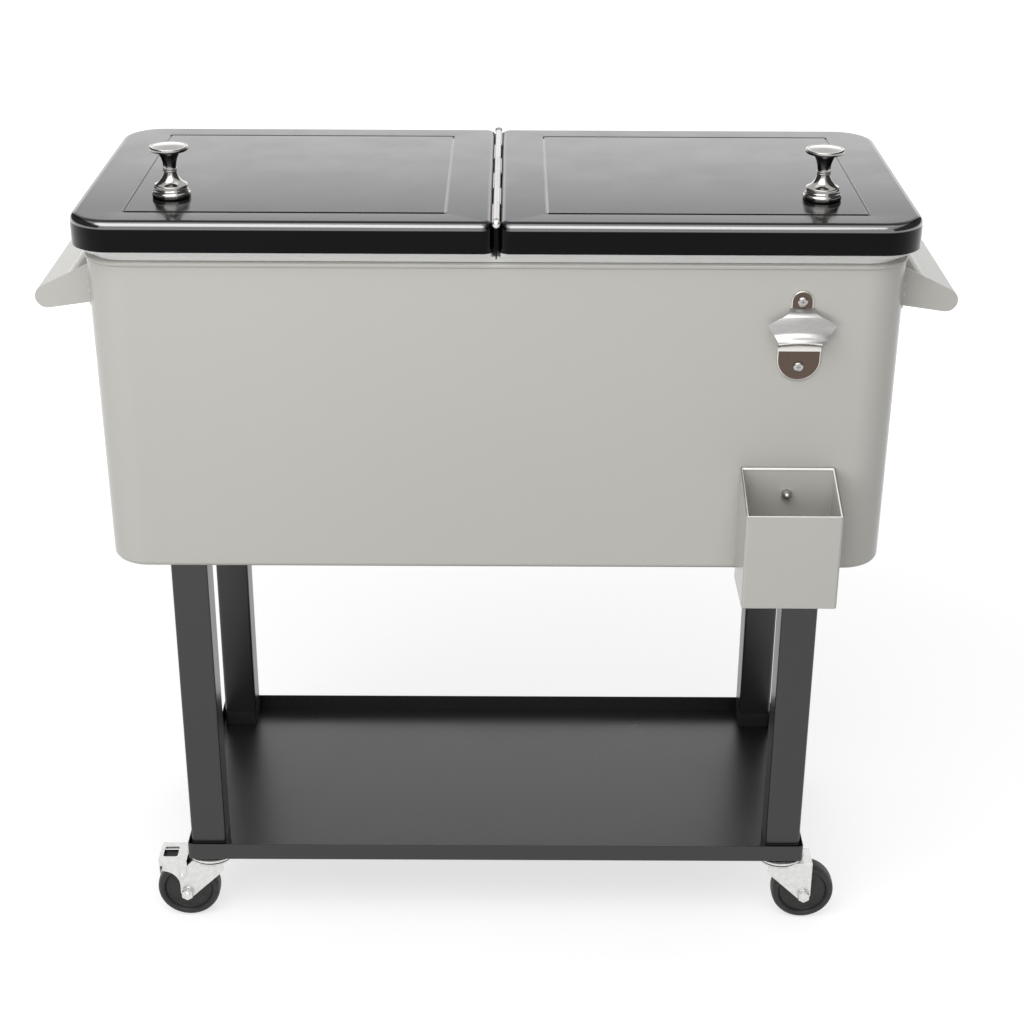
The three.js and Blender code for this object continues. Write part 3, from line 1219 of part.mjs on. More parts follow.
add('bottle_opener', bottleOpener(), 'stainless');
const [upperScrew, lowerScrew] = openerScrewHeights();
add('opener_screw_upper', openerScrew(upperScrew), 'stainless');
add('opener_screw_lower', openerScrew(lowerScrew), 'stainless');
add('cap_catcher', capCatcher(), 'tubPaint');
add('catcher_bolt', catcherBolt(), 'zinc');
add('catcher_cap_nut', catcherCapNut(), 'stainless');
add('drain_spout', drainSpout(), 'whitePlastic');
add('drain_nut', drainNut(), 'whitePlastic');
add('drain_cap', drainCap(), 'whitePlastic');
add('tray', tray(), 'blackPowder');

for (const [corner, sx, sy] of LEG_CORNERS) {
  const x = sx * LEG_SPAN_X / 2;
  const y = sy * LEG_SPAN_Y / 2;
  add(`leg_${corner}`, leg(x, y), 'blackPowder');
  add(`leg_bolt_${corner}`, legBolt(x, y), 'zinc');
  add(`foot_${corner}`, foot(x, y), 'blackPlastic');

  // The wheel trails outwards from the swivel axis, and the two left casters lock.
  const withBrake = sx < 0;
  const placed = (geometry) => weld(sx < 0 ? geometry.rotateZ(Math.PI) : geometry).translate(x, y, 0);
  add(`caster_stem_${corner}`, placed(casterStem()), 'zinc');
  add(`caster_fork_${corner}`, placed(casterFork(withBrake)), 'zinc');
  add(`caster_wheel_${corner}`, placed(casterWheel()), 'blackPlastic');
  add(`caster_axle_${corner}`, placed(casterAxle()), 'zinc');
  if (withBrake) add(`brake_pedal_${corner}`, placed(brakePedal()), 'zinc');
}

// The model stands over the origin by the middle of its outer box.
const bounds = new THREE.Box3().setFromObject(cooler);
const middle = bounds.getCenter(new THREE.Vector3());
cooler.position.set(-middle.x, -middle.y, 0);

export default cooler;
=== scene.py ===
from math import asin, atan2, cos, hypot, pi, radians, sin, tan

import bmesh
import bpy
from bpy.props import FloatProperty, FloatVectorProperty, IntProperty, PointerProperty
from mathutils import Matrix, Vector


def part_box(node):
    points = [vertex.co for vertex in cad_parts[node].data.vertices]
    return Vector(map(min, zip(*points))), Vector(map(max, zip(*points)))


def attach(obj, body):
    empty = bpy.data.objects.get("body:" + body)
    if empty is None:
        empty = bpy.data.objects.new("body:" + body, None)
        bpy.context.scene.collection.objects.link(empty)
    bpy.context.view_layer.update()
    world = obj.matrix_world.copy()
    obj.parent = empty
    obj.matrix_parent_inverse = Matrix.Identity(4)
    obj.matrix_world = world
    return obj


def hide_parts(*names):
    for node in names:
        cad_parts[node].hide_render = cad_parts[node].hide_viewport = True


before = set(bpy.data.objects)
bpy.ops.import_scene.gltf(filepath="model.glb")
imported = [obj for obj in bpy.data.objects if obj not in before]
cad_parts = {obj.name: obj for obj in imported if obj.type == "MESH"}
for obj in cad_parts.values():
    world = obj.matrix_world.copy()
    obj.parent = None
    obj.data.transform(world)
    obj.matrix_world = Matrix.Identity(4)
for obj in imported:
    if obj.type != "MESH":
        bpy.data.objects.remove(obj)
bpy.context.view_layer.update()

bl_info = {
    "name": "Rolling Patio Cooler",
    "version": (1, 0, 0),
    "blender": (4, 5, 0),
    "location": "View3D > Sidebar > Cooler",
    "description": "Sheet metal, hinge, hardware, casters and finishes of a rolling patio cooler",
    "category": "Add Mesh",
}

MM = 0.001
TUB_LOW, TUB_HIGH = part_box("tub_shell")
LID_LOW, LID_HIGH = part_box("lid_left")
MIDDLE = (LID_LOW.y + LID_HIGH.y) / 2  # the line through the tub from side to side
BEAD_OUT = 1.8 * MM
TUB_X = TUB_HIGH.x - BEAD_OUT
TUB_Y = (TUB_HIGH.y - TUB_LOW.y) / 2 - BEAD_OUT
SIDES = (("left", -1), ("right", 1))
CASTERS = {"front_left": pi, "front_right": 0, "rear_left": pi, "rear_right": 0}  # each with its turn
BRAKED = ("front_left", "rear_left")
RIGHT = Vector((1, 0, 0))
FRONT = Vector((0, -1, 0))
BACK = Vector((0, 1, 0))
UP = Vector((0, 0, 1))
WHITE = (1, 1, 1, 1)


def linear(code):
    """Turns an sRGB hex colour into the linear values that shaders and colour settings take."""
    channels = [int(code[i:i + 2], 16) / 255 for i in (1, 3, 5)]
    return tuple(c / 12.92 if c <= 0.04045 else ((c + 0.055) / 1.055) ** 2.4 for c in channels)


def colour(name, description, code):
    """A colour that a user can change."""
    return FloatVectorProperty(name=name, description=description, subtype="COLOR", size=3,
                               min=0, max=1, default=linear(code))


def length(name, description, millimetres):
    """A length that a user can change, given in millimetres."""
    return FloatProperty(name=name, description=description, unit="LENGTH", min=0,
                         default=millimetres * MM)


def watts(name, description, power):
    """The power of a lamp."""
    return FloatProperty(name=name, description=f"{description}, its power in watts", min=0, default=power)


def tilt(name, description, degrees):
    """An angle of the camera, given in degrees."""
    return FloatProperty(name=name, description=description, subtype="ANGLE", default=radians(degrees))


class CoolerSizes(bpy.types.PropertyGroup):
    """The rounds, walls and gauges that the fine pieces are drawn with."""
    lid_corner: length("Lid corner", "Radius of each lid's two outer corners", 45)
    seam_corner: length("Seam corner", "Radius of the lid corners beside the hinge", 12)
    lid_fillet: length("Lid fillet", "Round between a lid's top and its skirt", 8)
    lid_sheet: length("Lid sheet", "Thickness of the lids' sheet steel", 1.2)
    groove_width: length("Groove width", "Width of the pressed line round the lid panel", 3.8)
    groove_depth: length("Groove depth", "Depth of the pressed line round the lid panel", 1.1)
    tub_corner: length("Tub corner", "Radius of the tub's upright corners", 46)
    tub_edge: length("Tub bottom edge", "Round between the tub's walls and its bottom", 6)
    tub_sheet: length("Tub sheet", "Thickness of the tub's sheet steel", 1.5)
    cavity_corner: length("Cavity corner", "Radius of the liner's upright corners", 34)
    leg_round: length("Leg round", "Corner radius of the square leg tubes", 3)
    tray_sheet: length("Tray sheet", "Thickness of the shelf tray", 1.5)
    fork_sheet: length("Fork sheet", "Thickness of the caster forks", 2.5)
    round_steps: IntProperty(name="Corner steps", description="Facets in each large corner",
                             default=14, min=3, max=32)


class CoolerFinishes(bpy.types.PropertyGroup):
    """The colours of the cooler's paints, plastics and metals."""
    tub_paint: colour("Tub paint", "Warm grey baked paint of the tub", "#bcbab4")
    # A painted highlight: the tub's paint made near white for the catcher's rolled hem.
    painted_edge_highlight: colour("Painted edge highlight", "Tub paint made paler on a rolled edge, a painted highlight", "#fbf9f5")
    lid_enamel: colour("Lid enamel", "Gloss black enamel of the lids", "#060607")
    frame_powder: colour("Frame powder", "Black powder coat of legs and tray", "#131212")
    liner_plastic: colour("Liner plastic", "Moulded plastic of the liners", "#f4f3f1")
    foot_plastic: colour("Foot plastic", "Moulded feet between legs and tray", "#161616")
    wheel_rubber: colour("Wheels", "Hard rubber of the caster wheels", "#1b1918")
    foam: colour("Foam", "Rigid insulation foam", "#e6dcae")
    bright_chrome: colour("Chrome", "Polished chrome plate", "#a5a3a0")
    stainless: colour("Stainless", "Brushed stainless steel", "#b4b2b0")
    satin_stainless: colour("Satin stainless", "Stainless of the opener's flat plates", "#5b4f47")
    polished_stainless: colour("Polished stainless", "Tumbled edges of the opener", "#dcd9d4")
    zinc: colour("Zinc", "Bright zinc plate of the casters", "#dfe0de")


class CoolerStage(bpy.types.PropertyGroup):
    """The camera and the plain studio light."""
    lens: FloatProperty(name="Lens", description="Focal length on a 36 mm wide picture",
                        default=68.74, min=10)
    camera_place: FloatVectorProperty(name="Camera place", description="Where the camera stands",
                                      subtype="XYZ", unit="LENGTH", default=(0.0150, -2.0576, 1.4379))
    pitch: tilt("Pitch", "How far the camera looks down", 25.067)
    yaw: tilt("Yaw", "How far it looks to the right", 0.069)
    roll: tilt("Roll", "How far it leans", 0.278)
    key: watts("Key", "High front lamp", 46)
    front: watts("Front", "Low front lamp", 39)
    top: watts("Top", "Lamp overhead", 9)
    back: watts("Back", "Low lamp behind", 12)
    fill: watts("Fill", "Fill lamp behind", 22)
    ambient: FloatProperty(name="Ambient", description="Brightness of the surroundings", default=0.36, min=0)


# Drawing helpers

def in_metres(profile):
    """A profile's (radius, height) points, drawn in millimetres, as metres."""
    return [(r * MM, h * MM) for r, h in profile]


def arc(centre, radius, start, end, steps):
    """The points of an arc between two angles in degrees, for a profile."""
    angles = [radians(start + (end - start) * number / steps) for number in range(steps + 1)]
    return [(centre[0] + radius * cos(angle), centre[1] + radius * sin(angle)) for angle in angles]


def rectangle(x0, x1, y0, y1, near, far=None):
    """The corners of a rectangle as (x, y, radius): near is the radius at x0 and far at x1.
    One radius rounds all four."""
    if far is None:
        far = near
    return ((x0, y0, near), (x1, y0, far), (x1, y1, far), (x0, y1, near))


def plan_of(low, high, radius):
    """The outline of a box seen from above."""
    return rectangle(low.x, high.x, low.y, high.y, radius)


def outline(bm, corners, z, steps):
    """Draws one face at height z with its corners rounded, and returns it."""
    before = set(bm.faces)
    verts = [bm.verts.new((x, y, z)) for x, y, _ in corners]
    bm.faces.new(verts)
    for vert, corner in zip(verts, corners):
        if corner[2] > 0:
            a, b = (edge.other_vert(vert).co - vert.co for edge in vert.link_edges)
            bmesh.ops.bevel(bm, geom=[vert], offset=corner[2] / tan(a.angle(b) / 2),
                            offset_type="OFFSET", segments=steps, profile=0.5,
                            affect="VERTICES", clamp_overlap=False, material=-1)
    return (set(bm.faces) - before).pop()


def open_outline(bm, corners, z, steps):
    """Draws an outline without its face, and returns its edges."""
    face = outline(bm, corners, z, steps)
    edges = list(face.edges)
    bmesh.ops.delete(bm, geom=[face], context="FACES_ONLY")
    return edges


def loft(bm, levels, steps, caps=(True, True)):
    """Bridges a stack of rounded outlines, each (corners, z), and caps its ends if asked."""
    rings = []
    for number, (corners, z) in enumerate(levels):
        if (number == 0 and caps[0]) or (number == len(levels) - 1 and caps[1]):
            rings.append(list(outline(bm, corners, z, steps).edges))
        else:
            rings.append(open_outline(bm, corners, z, steps))
    for lower, upper in zip(rings, rings[1:]):
        bmesh.ops.bridge_loops(bm, edges=lower + upper)
    bmesh.ops.recalc_face_normals(bm, faces=bm.faces)


def trace(bm, start, *moves, close=True):
    """Draws an outline in X and Z: a move is a point, or (centre, angle, steps) for an arc.
    A positive angle turns from +X towards +Z. Closed outlines become a face."""
    verts = [bm.verts.new((start[0], 0, start[1]))]
    for move in moves:
        if len(move) == 2:
            verts.append(bm.verts.new((move[0], 0, move[1])))
            bm.edges.new(verts[-2:])
            continue
        (cx, cz), angle, steps = move
        known = set(bm.verts)
        bmesh.ops.spin(bm, geom=[verts[-1]], cent=(cx, 0, cz), axis=FRONT, angle=angle,
                       steps=steps, use_merge=False, use_duplicate=False)
        while True:
            following = [edge.other_vert(verts[-1]) for edge in verts[-1].link_edges
                         if edge.other_vert(verts[-1]) not in known]
            if not following:
                break
            verts.append(following[0])
            known.add(following[0])
    return bm.faces.new(verts) if close else verts


def corners_in(geom):
    """The vertices among mixed geometry."""
    return [item for item in geom if isinstance(item, bmesh.types.BMVert)]


def thicken(bm, faces, move):
    """Extrudes faces by a vector into a closed body."""
    made = bmesh.ops.extrude_face_region(bm, geom=faces)["geom"]
    bmesh.ops.translate(bm, vec=move, verts=corners_in(made))


def slab(bm, low, high):
    """A square-edged plate or block between two corners."""
    size = Vector(high) - Vector(low)
    place = Matrix.Translation((Vector(low) + Vector(high)) / 2) @ Matrix.Diagonal((*size, 1))
    bmesh.ops.create_cube(bm, size=1, matrix=place)


def rod(bm, sides, radius, depth, place):
    """A capped bar with flat sides, such as a nut, along the Z of its place."""
    bmesh.ops.create_cone(bm, cap_ends=True, segments=sides, radius1=radius, radius2=radius,
                          depth=depth, matrix=place)


def turn(bm, profile, steps, axis=UP, origin=(0, 0, 0)):
    """Spins a profile of (radius, height) points once round an axis through the origin point."""
    side = axis.orthogonal().normalized()
    verts = [bm.verts.new(Vector(origin) + side * r + axis * h) for r, h in profile]
    edges = [bm.edges.new(pair) for pair in zip(verts, verts[1:])]
    bmesh.ops.spin(bm, geom=verts + edges, cent=origin, axis=axis, angle=2 * pi, steps=steps,
                   use_merge=True, use_duplicate=False)


def weld(bm):
    """Merges corners that meet, and turns the faces outwards."""
    bmesh.ops.remove_doubles(bm, verts=bm.verts, dist=0.01 * MM)
    bmesh.ops.recalc_face_normals(bm, faces=bm.faces)


def creases(bm, angle=40):
    """The edges whose two faces stand at more than an angle in degrees."""
    return [e for e in bm.edges if len(e.link_faces) == 2 and e.calc_face_angle() > radians(angle)]


def level_edges(bm, z):
    """The creases that lie at height z."""
    return [e for e in creases(bm, 11.5) if all(abs(v.co.z - z) < 0.02 * MM for v in e.verts)]


def soften(bm, edges, radius, steps):
    """Rounds edges."""
    bmesh.ops.bevel(bm, geom=edges, offset=radius, offset_type="OFFSET", segments=steps,
                    profile=0.5, affect="EDGES", clamp_overlap=True, material=-1)


def add_object(bm, name):
    """Puts a drawn mesh into the scene."""
    mesh = bpy.data.meshes.new(name)
    bm.to_mesh(mesh)
    bm.free()
    made = bpy.data.objects.new(name, mesh)
    bpy.context.scene.collection.objects.link(made)
    return made


def finish_piece(bm, name, body, slot, node=None, look=(), wall=0.0, crease=38, place=None, flip=False):
    """Makes a mesh into a finished piece: shading, wall thickness, material and body.
    It hides the CAD node whose place it takes, if one is named; look names its finishes where they are not
    the slot's own.
    A flipped piece is turned into its twin on the other side."""
    if flip:
        bmesh.ops.scale(bm, vec=(-1, 1, 1), verts=bm.verts)
        bmesh.ops.reverse_faces(bm, faces=bm.faces)
    if place is not None:
        bmesh.ops.transform(bm, matrix=place, verts=bm.verts)
    for face in bm.faces:
        face.smooth = True
    for edge in creases(bm, crease):
        edge.smooth = False
    piece = add_object(bm, name)
    for finish in look or (slot,):
        piece.data.materials.append(material(finish))
    if wall:
        sheet = piece.modifiers.new("Sheet", "SOLIDIFY")
        sheet.thickness = wall
        sheet.offset = -1
        sheet.use_even_offset = True
    shade = piece.modifiers.new("Flat faces", "WEIGHTED_NORMAL")
    shade.keep_sharp = True
    shade.weight = 80
    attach(piece, body)
    if node:
        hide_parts(node)


# Materials

def add_node(tree, kind, settings=None, inputs=None):
    """Adds a shader node, sets its properties, and fills or links its inputs."""
    node = tree.nodes.new(kind)
    for name, value in (settings or {}).items():
        setattr(node, name, value)
    for name, value in (inputs or {}).items():
        if isinstance(value, bpy.types.NodeSocket):
            tree.links.new(value, node.inputs[name])
        else:
            node.inputs[name].default_value = value
    return node


def start_material(name, **surface):
    """A Principled surface with its constant values set."""
    made = bpy.data.materials.new(name)
    made.use_nodes = True
    shader = made.node_tree.nodes["Principled BSDF"]
    for socket, value in surface.items():
        shader.inputs[socket.replace("_", " ")].default_value = value
    return made, made.node_tree, shader


def grained(base, name, tone, shine=None, bumps=None, patchy=True, stretch=(1, 1, 1), **surface):
    """A surface whose colour, roughness and relief each follow a grain of their own.

    A grain is given by the width of its blotches in millimetres and its detail. After them, tone
    has the darkest and the lightest share of the colour, shine the lowest and the highest
    roughness, and bumps a depth in millimetres and a strength. A patchy tone reaches both ends."""
    made, tree, shader = start_material(name, **surface)
    place = add_node(tree, "ShaderNodeTexCoord").outputs["Object"]
    drawn = add_node(tree, "ShaderNodeMapping", None, {"Vector": place, "Scale": stretch}).outputs["Vector"]
    tone_grain, shine_grain, bump_grain = [
        values and add_node(tree, "ShaderNodeTexNoise", None, {
            "Vector": drawn, "Scale": 1 / (values[0] * MM), "Detail": values[1]}).outputs["Fac"]
        for values in (tone, shine, bumps)]

    usual = {"From Min": 0.3, "From Max": 0.7}  # nearly all of the noise lies between these
    if patchy:
        full = add_node(tree, "ShaderNodeMapRange", None, {"Value": tone_grain, **usual})
        tone_grain = full.outputs["Result"]
    darkest, lightest = [(*[min(1, c * share) for c in base], 1) for share in tone[2:]]
    mixed = add_node(tree, "ShaderNodeMix", {"data_type": "RGBA"},
                     {0: tone_grain, 6: darkest, 7: lightest})
    tree.links.new(mixed.outputs[2], shader.inputs["Base Color"])
    if shine:
        rough = add_node(tree, "ShaderNodeMapRange", None, {
            "Value": shine_grain, **usual, "To Min": shine[2], "To Max": shine[3]})
        tree.links.new(rough.outputs["Result"], shader.inputs["Roughness"])
    if bumps:
        bump = add_node(tree, "ShaderNodeBump", None, {
            "Height": bump_grain, "Distance": bumps[2] * MM, "Strength": bumps[3]})
        tree.links.new(bump.outputs["Normal"], shader.inputs["Normal"])
    return made


def paint_fold_highlight(made):
    """Paints a highlight on the lids' folded edges, but not beside the hinge: the enamel's specular
    level and tint are raised there and a coat is laid on. Three shares are multiplied: above the fold's
    foot, below its crest and clear of the hinge."""
    tree = made.node_tree
    shader = tree.nodes["Principled BSDF"]
    place = add_node(tree, "ShaderNodeTexCoord").outputs["Object"]
    along = add_node(tree, "ShaderNodeSeparateXYZ", None, {"Vector": place}).outputs
    aside = add_node(tree, "ShaderNodeMath", {"operation": "ABSOLUTE"}, {0: along["X"]})
    crest = LID_HIGH.z
    foot = crest - bpy.context.scene.cooler_sizes.lid_fillet
    fold = 1.0
    for value, start, end in ((along["Z"], foot - 0.5 * MM, foot + 0.6 * MM),
                              (along["Z"], crest - 1.1 * MM, crest - 2 * MM),
                              (aside.outputs[0], 9 * MM, 15 * MM)):
        share = add_node(tree, "ShaderNodeMapRange", None, {
            "Value": value, "From Min": start, "From Max": end})
        fold = add_node(tree, "ShaderNodeMath", {"operation": "MULTIPLY"}, {
            0: fold, 1: share.outputs["Result"]}).outputs[0]
    # The product of the shares is the painted highlight: it sets the coat and lifts the specular tint and
    # level from their least.
    tree.links.new(fold, shader.inputs["Coat Weight"])
    for socket, least in (("Specular Tint", 0.16), ("Specular IOR Level", 0.5)):
        level = add_node(tree, "ShaderNodeMapRange", None, {"Value": fold, "To Min": least})
        tree.links.new(level.outputs["Result"], shader.inputs[socket])


FINISHES = {
    # Baked enamel on sheet steel, sprayed: a satin gloss with faint orange peel 3 mm across, drawn
    # a little coarser than life so that it shows, and a tone that drifts slowly over the panels.
    "tub_paint": dict(
        name="baked enamel paint, sprayed", tone=(400, 1, 0.985, 1.01), shine=(300, 1, 0.2, 0.24),
        bumps=(3, 1, 0.02, 0.35), IOR=1.5),
    # The tub's paint on the catcher's rolled hem, made paler and glossier: a painted highlight, so that the
    # edge reads as one bright line.
    "painted_edge_highlight": dict(
        name="baked enamel paint, built up", tone=(8, 2, 0.95, 1.02), shine=(5, 2, 0.16, 0.24), IOR=1.5),
    # Stoved gloss enamel on pressed steel: black that mirrors what is round it. Its specular level is low on
    # the flats and raised, with a coat, on the folds: a painted highlight, a bright line along every edge.
    "lid_enamel": dict(
        name="stoved gloss enamel", tone=(80, 2, 0.85, 1.15), shine=(50, 4, 0.11, 0.17),
        bumps=(45, 1, 0.06, 0.25), patchy=False, IOR=1.5, Coat_IOR=2.2, Coat_Roughness=0.12),
    # Powder coat on tube and sheet: a fine pebbled black, half matt, that greys in broad light.
    # The pebbles are 1.2 mm, about twice life, so that they show.
    "frame_powder": dict(
        name="powder coat, fine texture", tone=(2, 2, 0.85, 1.15), shine=(120, 2, 0.27, 0.33),
        bumps=(1.2, 2, 0.08, 0.3), IOR=1.5, Specular_IOR_Level=0.72),
    # Injection-moulded polypropylene: a soft milky white with a fine spark-eroded grain.
    "liner_plastic": dict(
        name="polypropylene, injection moulded", tone=(120, 2, 0.975, 1.01), bumps=(1.5, 2, 0.03, 0.25),
        Roughness=0.38, IOR=1.49, Subsurface_Weight=0.06, Subsurface_Scale=4 * MM),
    # Moulded nylon: near black and almost matt, with a coarse mould grain.
    "foot_plastic": dict(
        name="nylon, moulded", tone=(10, 3, 0.8, 1.2), bumps=(1, 3, 0.08, 0.4), patchy=False,
        Roughness=0.5, IOR=1.53),
    # Moulded hard rubber: dark warm grey, dull on the tread with a dusty bloom in patches.
    "wheel_rubber": dict(
        name="hard rubber, moulded", tone=(12, 5, 0.75, 1.35), shine=(8, 4, 0.4, 0.6),
        bumps=(1.5, 4, 0.05, 0.4), IOR=1.52),
    # Foamed polyurethane: pale yellow and dry, with open cells 2 mm across.
    "foam": dict(
        name="polyurethane foam, cut", tone=(6, 4, 0.85, 1.1), bumps=(2, 3, 0.3, 0.8), patchy=False,
        Roughness=0.9, IOR=1.45),
    # Chrome plate, polished: mirror bright, with a trace of haze that softens the reflections.
    "bright_chrome": dict(
        name="chrome plate, polished", tone=(20, 2, 0.95, 1.03), shine=(10, 3, 0.11, 0.19),
        patchy=False, Metallic=1.0),
    # Stainless steel, brushed: fine lines across the sheet, 0.5 mm apart so that they show, which
    # draw the light out sideways.
    "stainless": dict(
        name="stainless steel, brushed", tone=(0.5, 2, 0.88, 1.08), shine=(0.5, 2, 0.27, 0.36),
        bumps=(0.5, 2, 0.02, 0.3), patchy=False, stretch=(0.04, 1, 1), Metallic=1.0, Anisotropic=0.35),
    # Stainless steel, satin rolled and dulled by handling: dark and warm, with fine upright lines.
    "satin_stainless": dict(
        name="stainless steel, satin", tone=(0.5, 2, 0.85, 1.12), shine=(0.5, 2, 0.32, 0.42),
        bumps=(0.5, 2, 0.02, 0.25), patchy=False, stretch=(1, 1, 0.05), Metallic=1.0, Anisotropic=0.2),
    # Stainless steel, its edges tumbled bright: pale, with a soft haze over the reflections.
    "polished_stainless": dict(
        name="stainless steel, tumbled", tone=(3, 3, 0.9, 1.05), shine=(2, 3, 0.24, 0.34),
        patchy=False, Metallic=1.0),
    # Zinc plate over pressed steel: bright and slightly milky, mottled where the bath left it.
    "zinc": dict(
        name="zinc plate, bright dipped", tone=(6, 4, 0.9, 1.04), shine=(4, 3, 0.24, 0.38),
        bumps=(1.5, 3, 0.03, 0.3), Metallic=1.0),
}
made_materials = {}


def material(finish):
    """The material of a finish, made once."""
    if finish not in made_materials:
        base = getattr(bpy.context.scene.cooler_finishes, finish)
        made_materials[finish] = grained(base, **FINISHES[finish])
        # The lids' enamel gets a painted highlight along its folds.
        if finish == "lid_enamel":
            paint_fold_highlight(made_materials[finish])
    return made_materials[finish]


# Lids and tub

def tub_level(inset, radius):
    """The tub's outline, drawn in from its walls."""
    return rectangle(-TUB_X + inset, TUB_X - inset, MIDDLE - TUB_Y + inset, MIDDLE + TUB_Y - inset, radius)


def lid_level(sizes, inset, at_seam=None):
    """The left lid's outline, drawn in from its edge; the seam side has the smaller corners."""
    if at_seam is None:
        at_seam = inset
    return rectangle(LID_LOW.x + inset, LID_HIGH.x - at_seam, LID_LOW.y + inset, LID_HIGH.y - inset,
                     sizes.lid_corner - inset, max(sizes.seam_corner - inset, 1 * MM))


def pressed_groove(bm, sizes):
    """Sinks the pressed line into the lid's flat top and joins it to the rim of the fillet."""
    from_side, from_seam, from_front, corner, steps = 56 * MM, 52 * MM, 37 * MM, 5 * MM, 6
    top = max(bm.faces, key=lambda face: face.calc_center_median().z)
    rim = list(top.edges)
    bmesh.ops.delete(bm, geom=[top], context="FACES_ONLY")
    half = sizes.groove_width / 2
    corners = rectangle(LID_LOW.x + from_side - half, -from_seam + half,
                        LID_LOW.y + from_front - half, LID_HIGH.y - from_front + half, corner)
    panel = outline(bm, corners, LID_HIGH.z, sizes.round_steps)
    lip = list(panel.edges)
    bmesh.ops.recalc_face_normals(bm, faces=[panel])
    if panel.normal.z < 0:
        bmesh.ops.reverse_faces(bm, faces=[panel])
    height = 0
    for number in range(1, steps + 1):
        drop = -sizes.groove_depth * (1 - cos(2 * pi * number / steps)) / 2
        bmesh.ops.inset_region(bm, faces=[panel], thickness=sizes.groove_width / steps,
                               depth=drop - height, use_even_offset=True, use_boundary=True)
        height = drop
    bmesh.ops.bridge_loops(bm, edges=rim + lip)
    bmesh.ops.recalc_face_normals(bm, faces=bm.faces)


class COOLER_OT_lids(bpy.types.Operator):
    """Draws the two pressed lids and the pans that line them"""
    bl_idname = "cooler.lids"
    bl_label = "Lids"

    def execute(self, context):
        sizes = context.scene.cooler_sizes
        for side, sign in SIDES:
            bm = bmesh.new()
            loft(bm, [(lid_level(sizes, 0), LID_LOW.z), (lid_level(sizes, 0), LID_HIGH.z)],
                 sizes.round_steps, (False, True))
            soften(bm, level_edges(bm, LID_HIGH.z), sizes.lid_fillet, 8)
            pressed_groove(bm, sizes)
            finish_piece(bm, f"lid_pressing_{side}", f"lid_{side}_body", "lid_enamel", f"lid_{side}",
                         wall=sizes.lid_sheet, flip=sign > 0)

            low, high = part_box("lid_liner_left")
            play, wall, rim = 1.6 * MM, 9 * MM, 2.5 * MM
            bm = bmesh.new()
            loft(bm, [(lid_level(sizes, wall, play), low.z), (lid_level(sizes, wall, play), high.z - rim),
                      (lid_level(sizes, play), high.z - rim), (lid_level(sizes, play), high.z)],
                 sizes.round_steps)
            soften(bm, level_edges(bm, low.z), 2.5 * MM, 4)
            finish_piece(bm, f"lid_pan_{side}", f"lid_{side}_body", "liner_plastic",
                         f"lid_liner_{side}", flip=sign > 0)
        return {"FINISHED"}


class COOLER_OT_tub(bpy.types.Operator):
    """Draws the painted tub with its rolled bead, and the moulded liner"""
    bl_idname = "cooler.tub"
    bl_label = "Tub"

    def execute(self, context):
        sizes = context.scene.cooler_sizes
        corner = sizes.tub_corner
        bottom, top = TUB_LOW.z, TUB_HIGH.z
        foot, bead, ledge, steps = 3 * MM, 5 * MM, 14 * MM, 8
        levels = [(tub_level(foot, corner - foot), bottom), (tub_level(0, corner), top - bead)]
        for number in range(1, steps):
            out = BEAD_OUT * sin(pi * number / steps)
            rise = bead * (1 - cos(pi * number / steps)) / 2
            levels.append((tub_level(-out, corner + out), top - bead + rise))
        levels += [(tub_level(0, corner), top), (tub_level(ledge, corner - ledge), top)]
        bm = bmesh.new()
        loft(bm, levels, sizes.round_steps, (True, False))
        soften(bm, level_edges(bm, bottom), sizes.tub_edge, 6)
        finish_piece(bm, "tub_skin", "tub", "tub_paint", "tub_shell", wall=sizes.tub_sheet)

        # Each inset is measured from the tub's wall.
        low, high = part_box("tub_liner")
        outside, lap, inside = 27 * MM, 5 * MM, 30 * MM
        flange, floor = high.z - 6 * MM, low.z + 3 * MM
        cavity = sizes.cavity_corner
        bm = bmesh.new()
        loft(bm, [
            (tub_level(outside, cavity + 3 * MM), low.z), (tub_level(outside, cavity + 3 * MM), flange),
            (tub_level(lap, corner - lap), flange), (tub_level(lap, corner - lap), high.z),
            (tub_level(inside, cavity), high.z), (tub_level(inside, cavity), floor),
        ], sizes.round_steps)
        soften(bm, level_edges(bm, floor), 10 * MM, 6)
        soften(bm, level_edges(bm, high.z), 1.4 * MM, 4)
        finish_piece(bm, "tub_liner_moulding", "tub", "liner_plastic", "tub_liner")
        return {"FINISHED"}


# Hinge and knobs

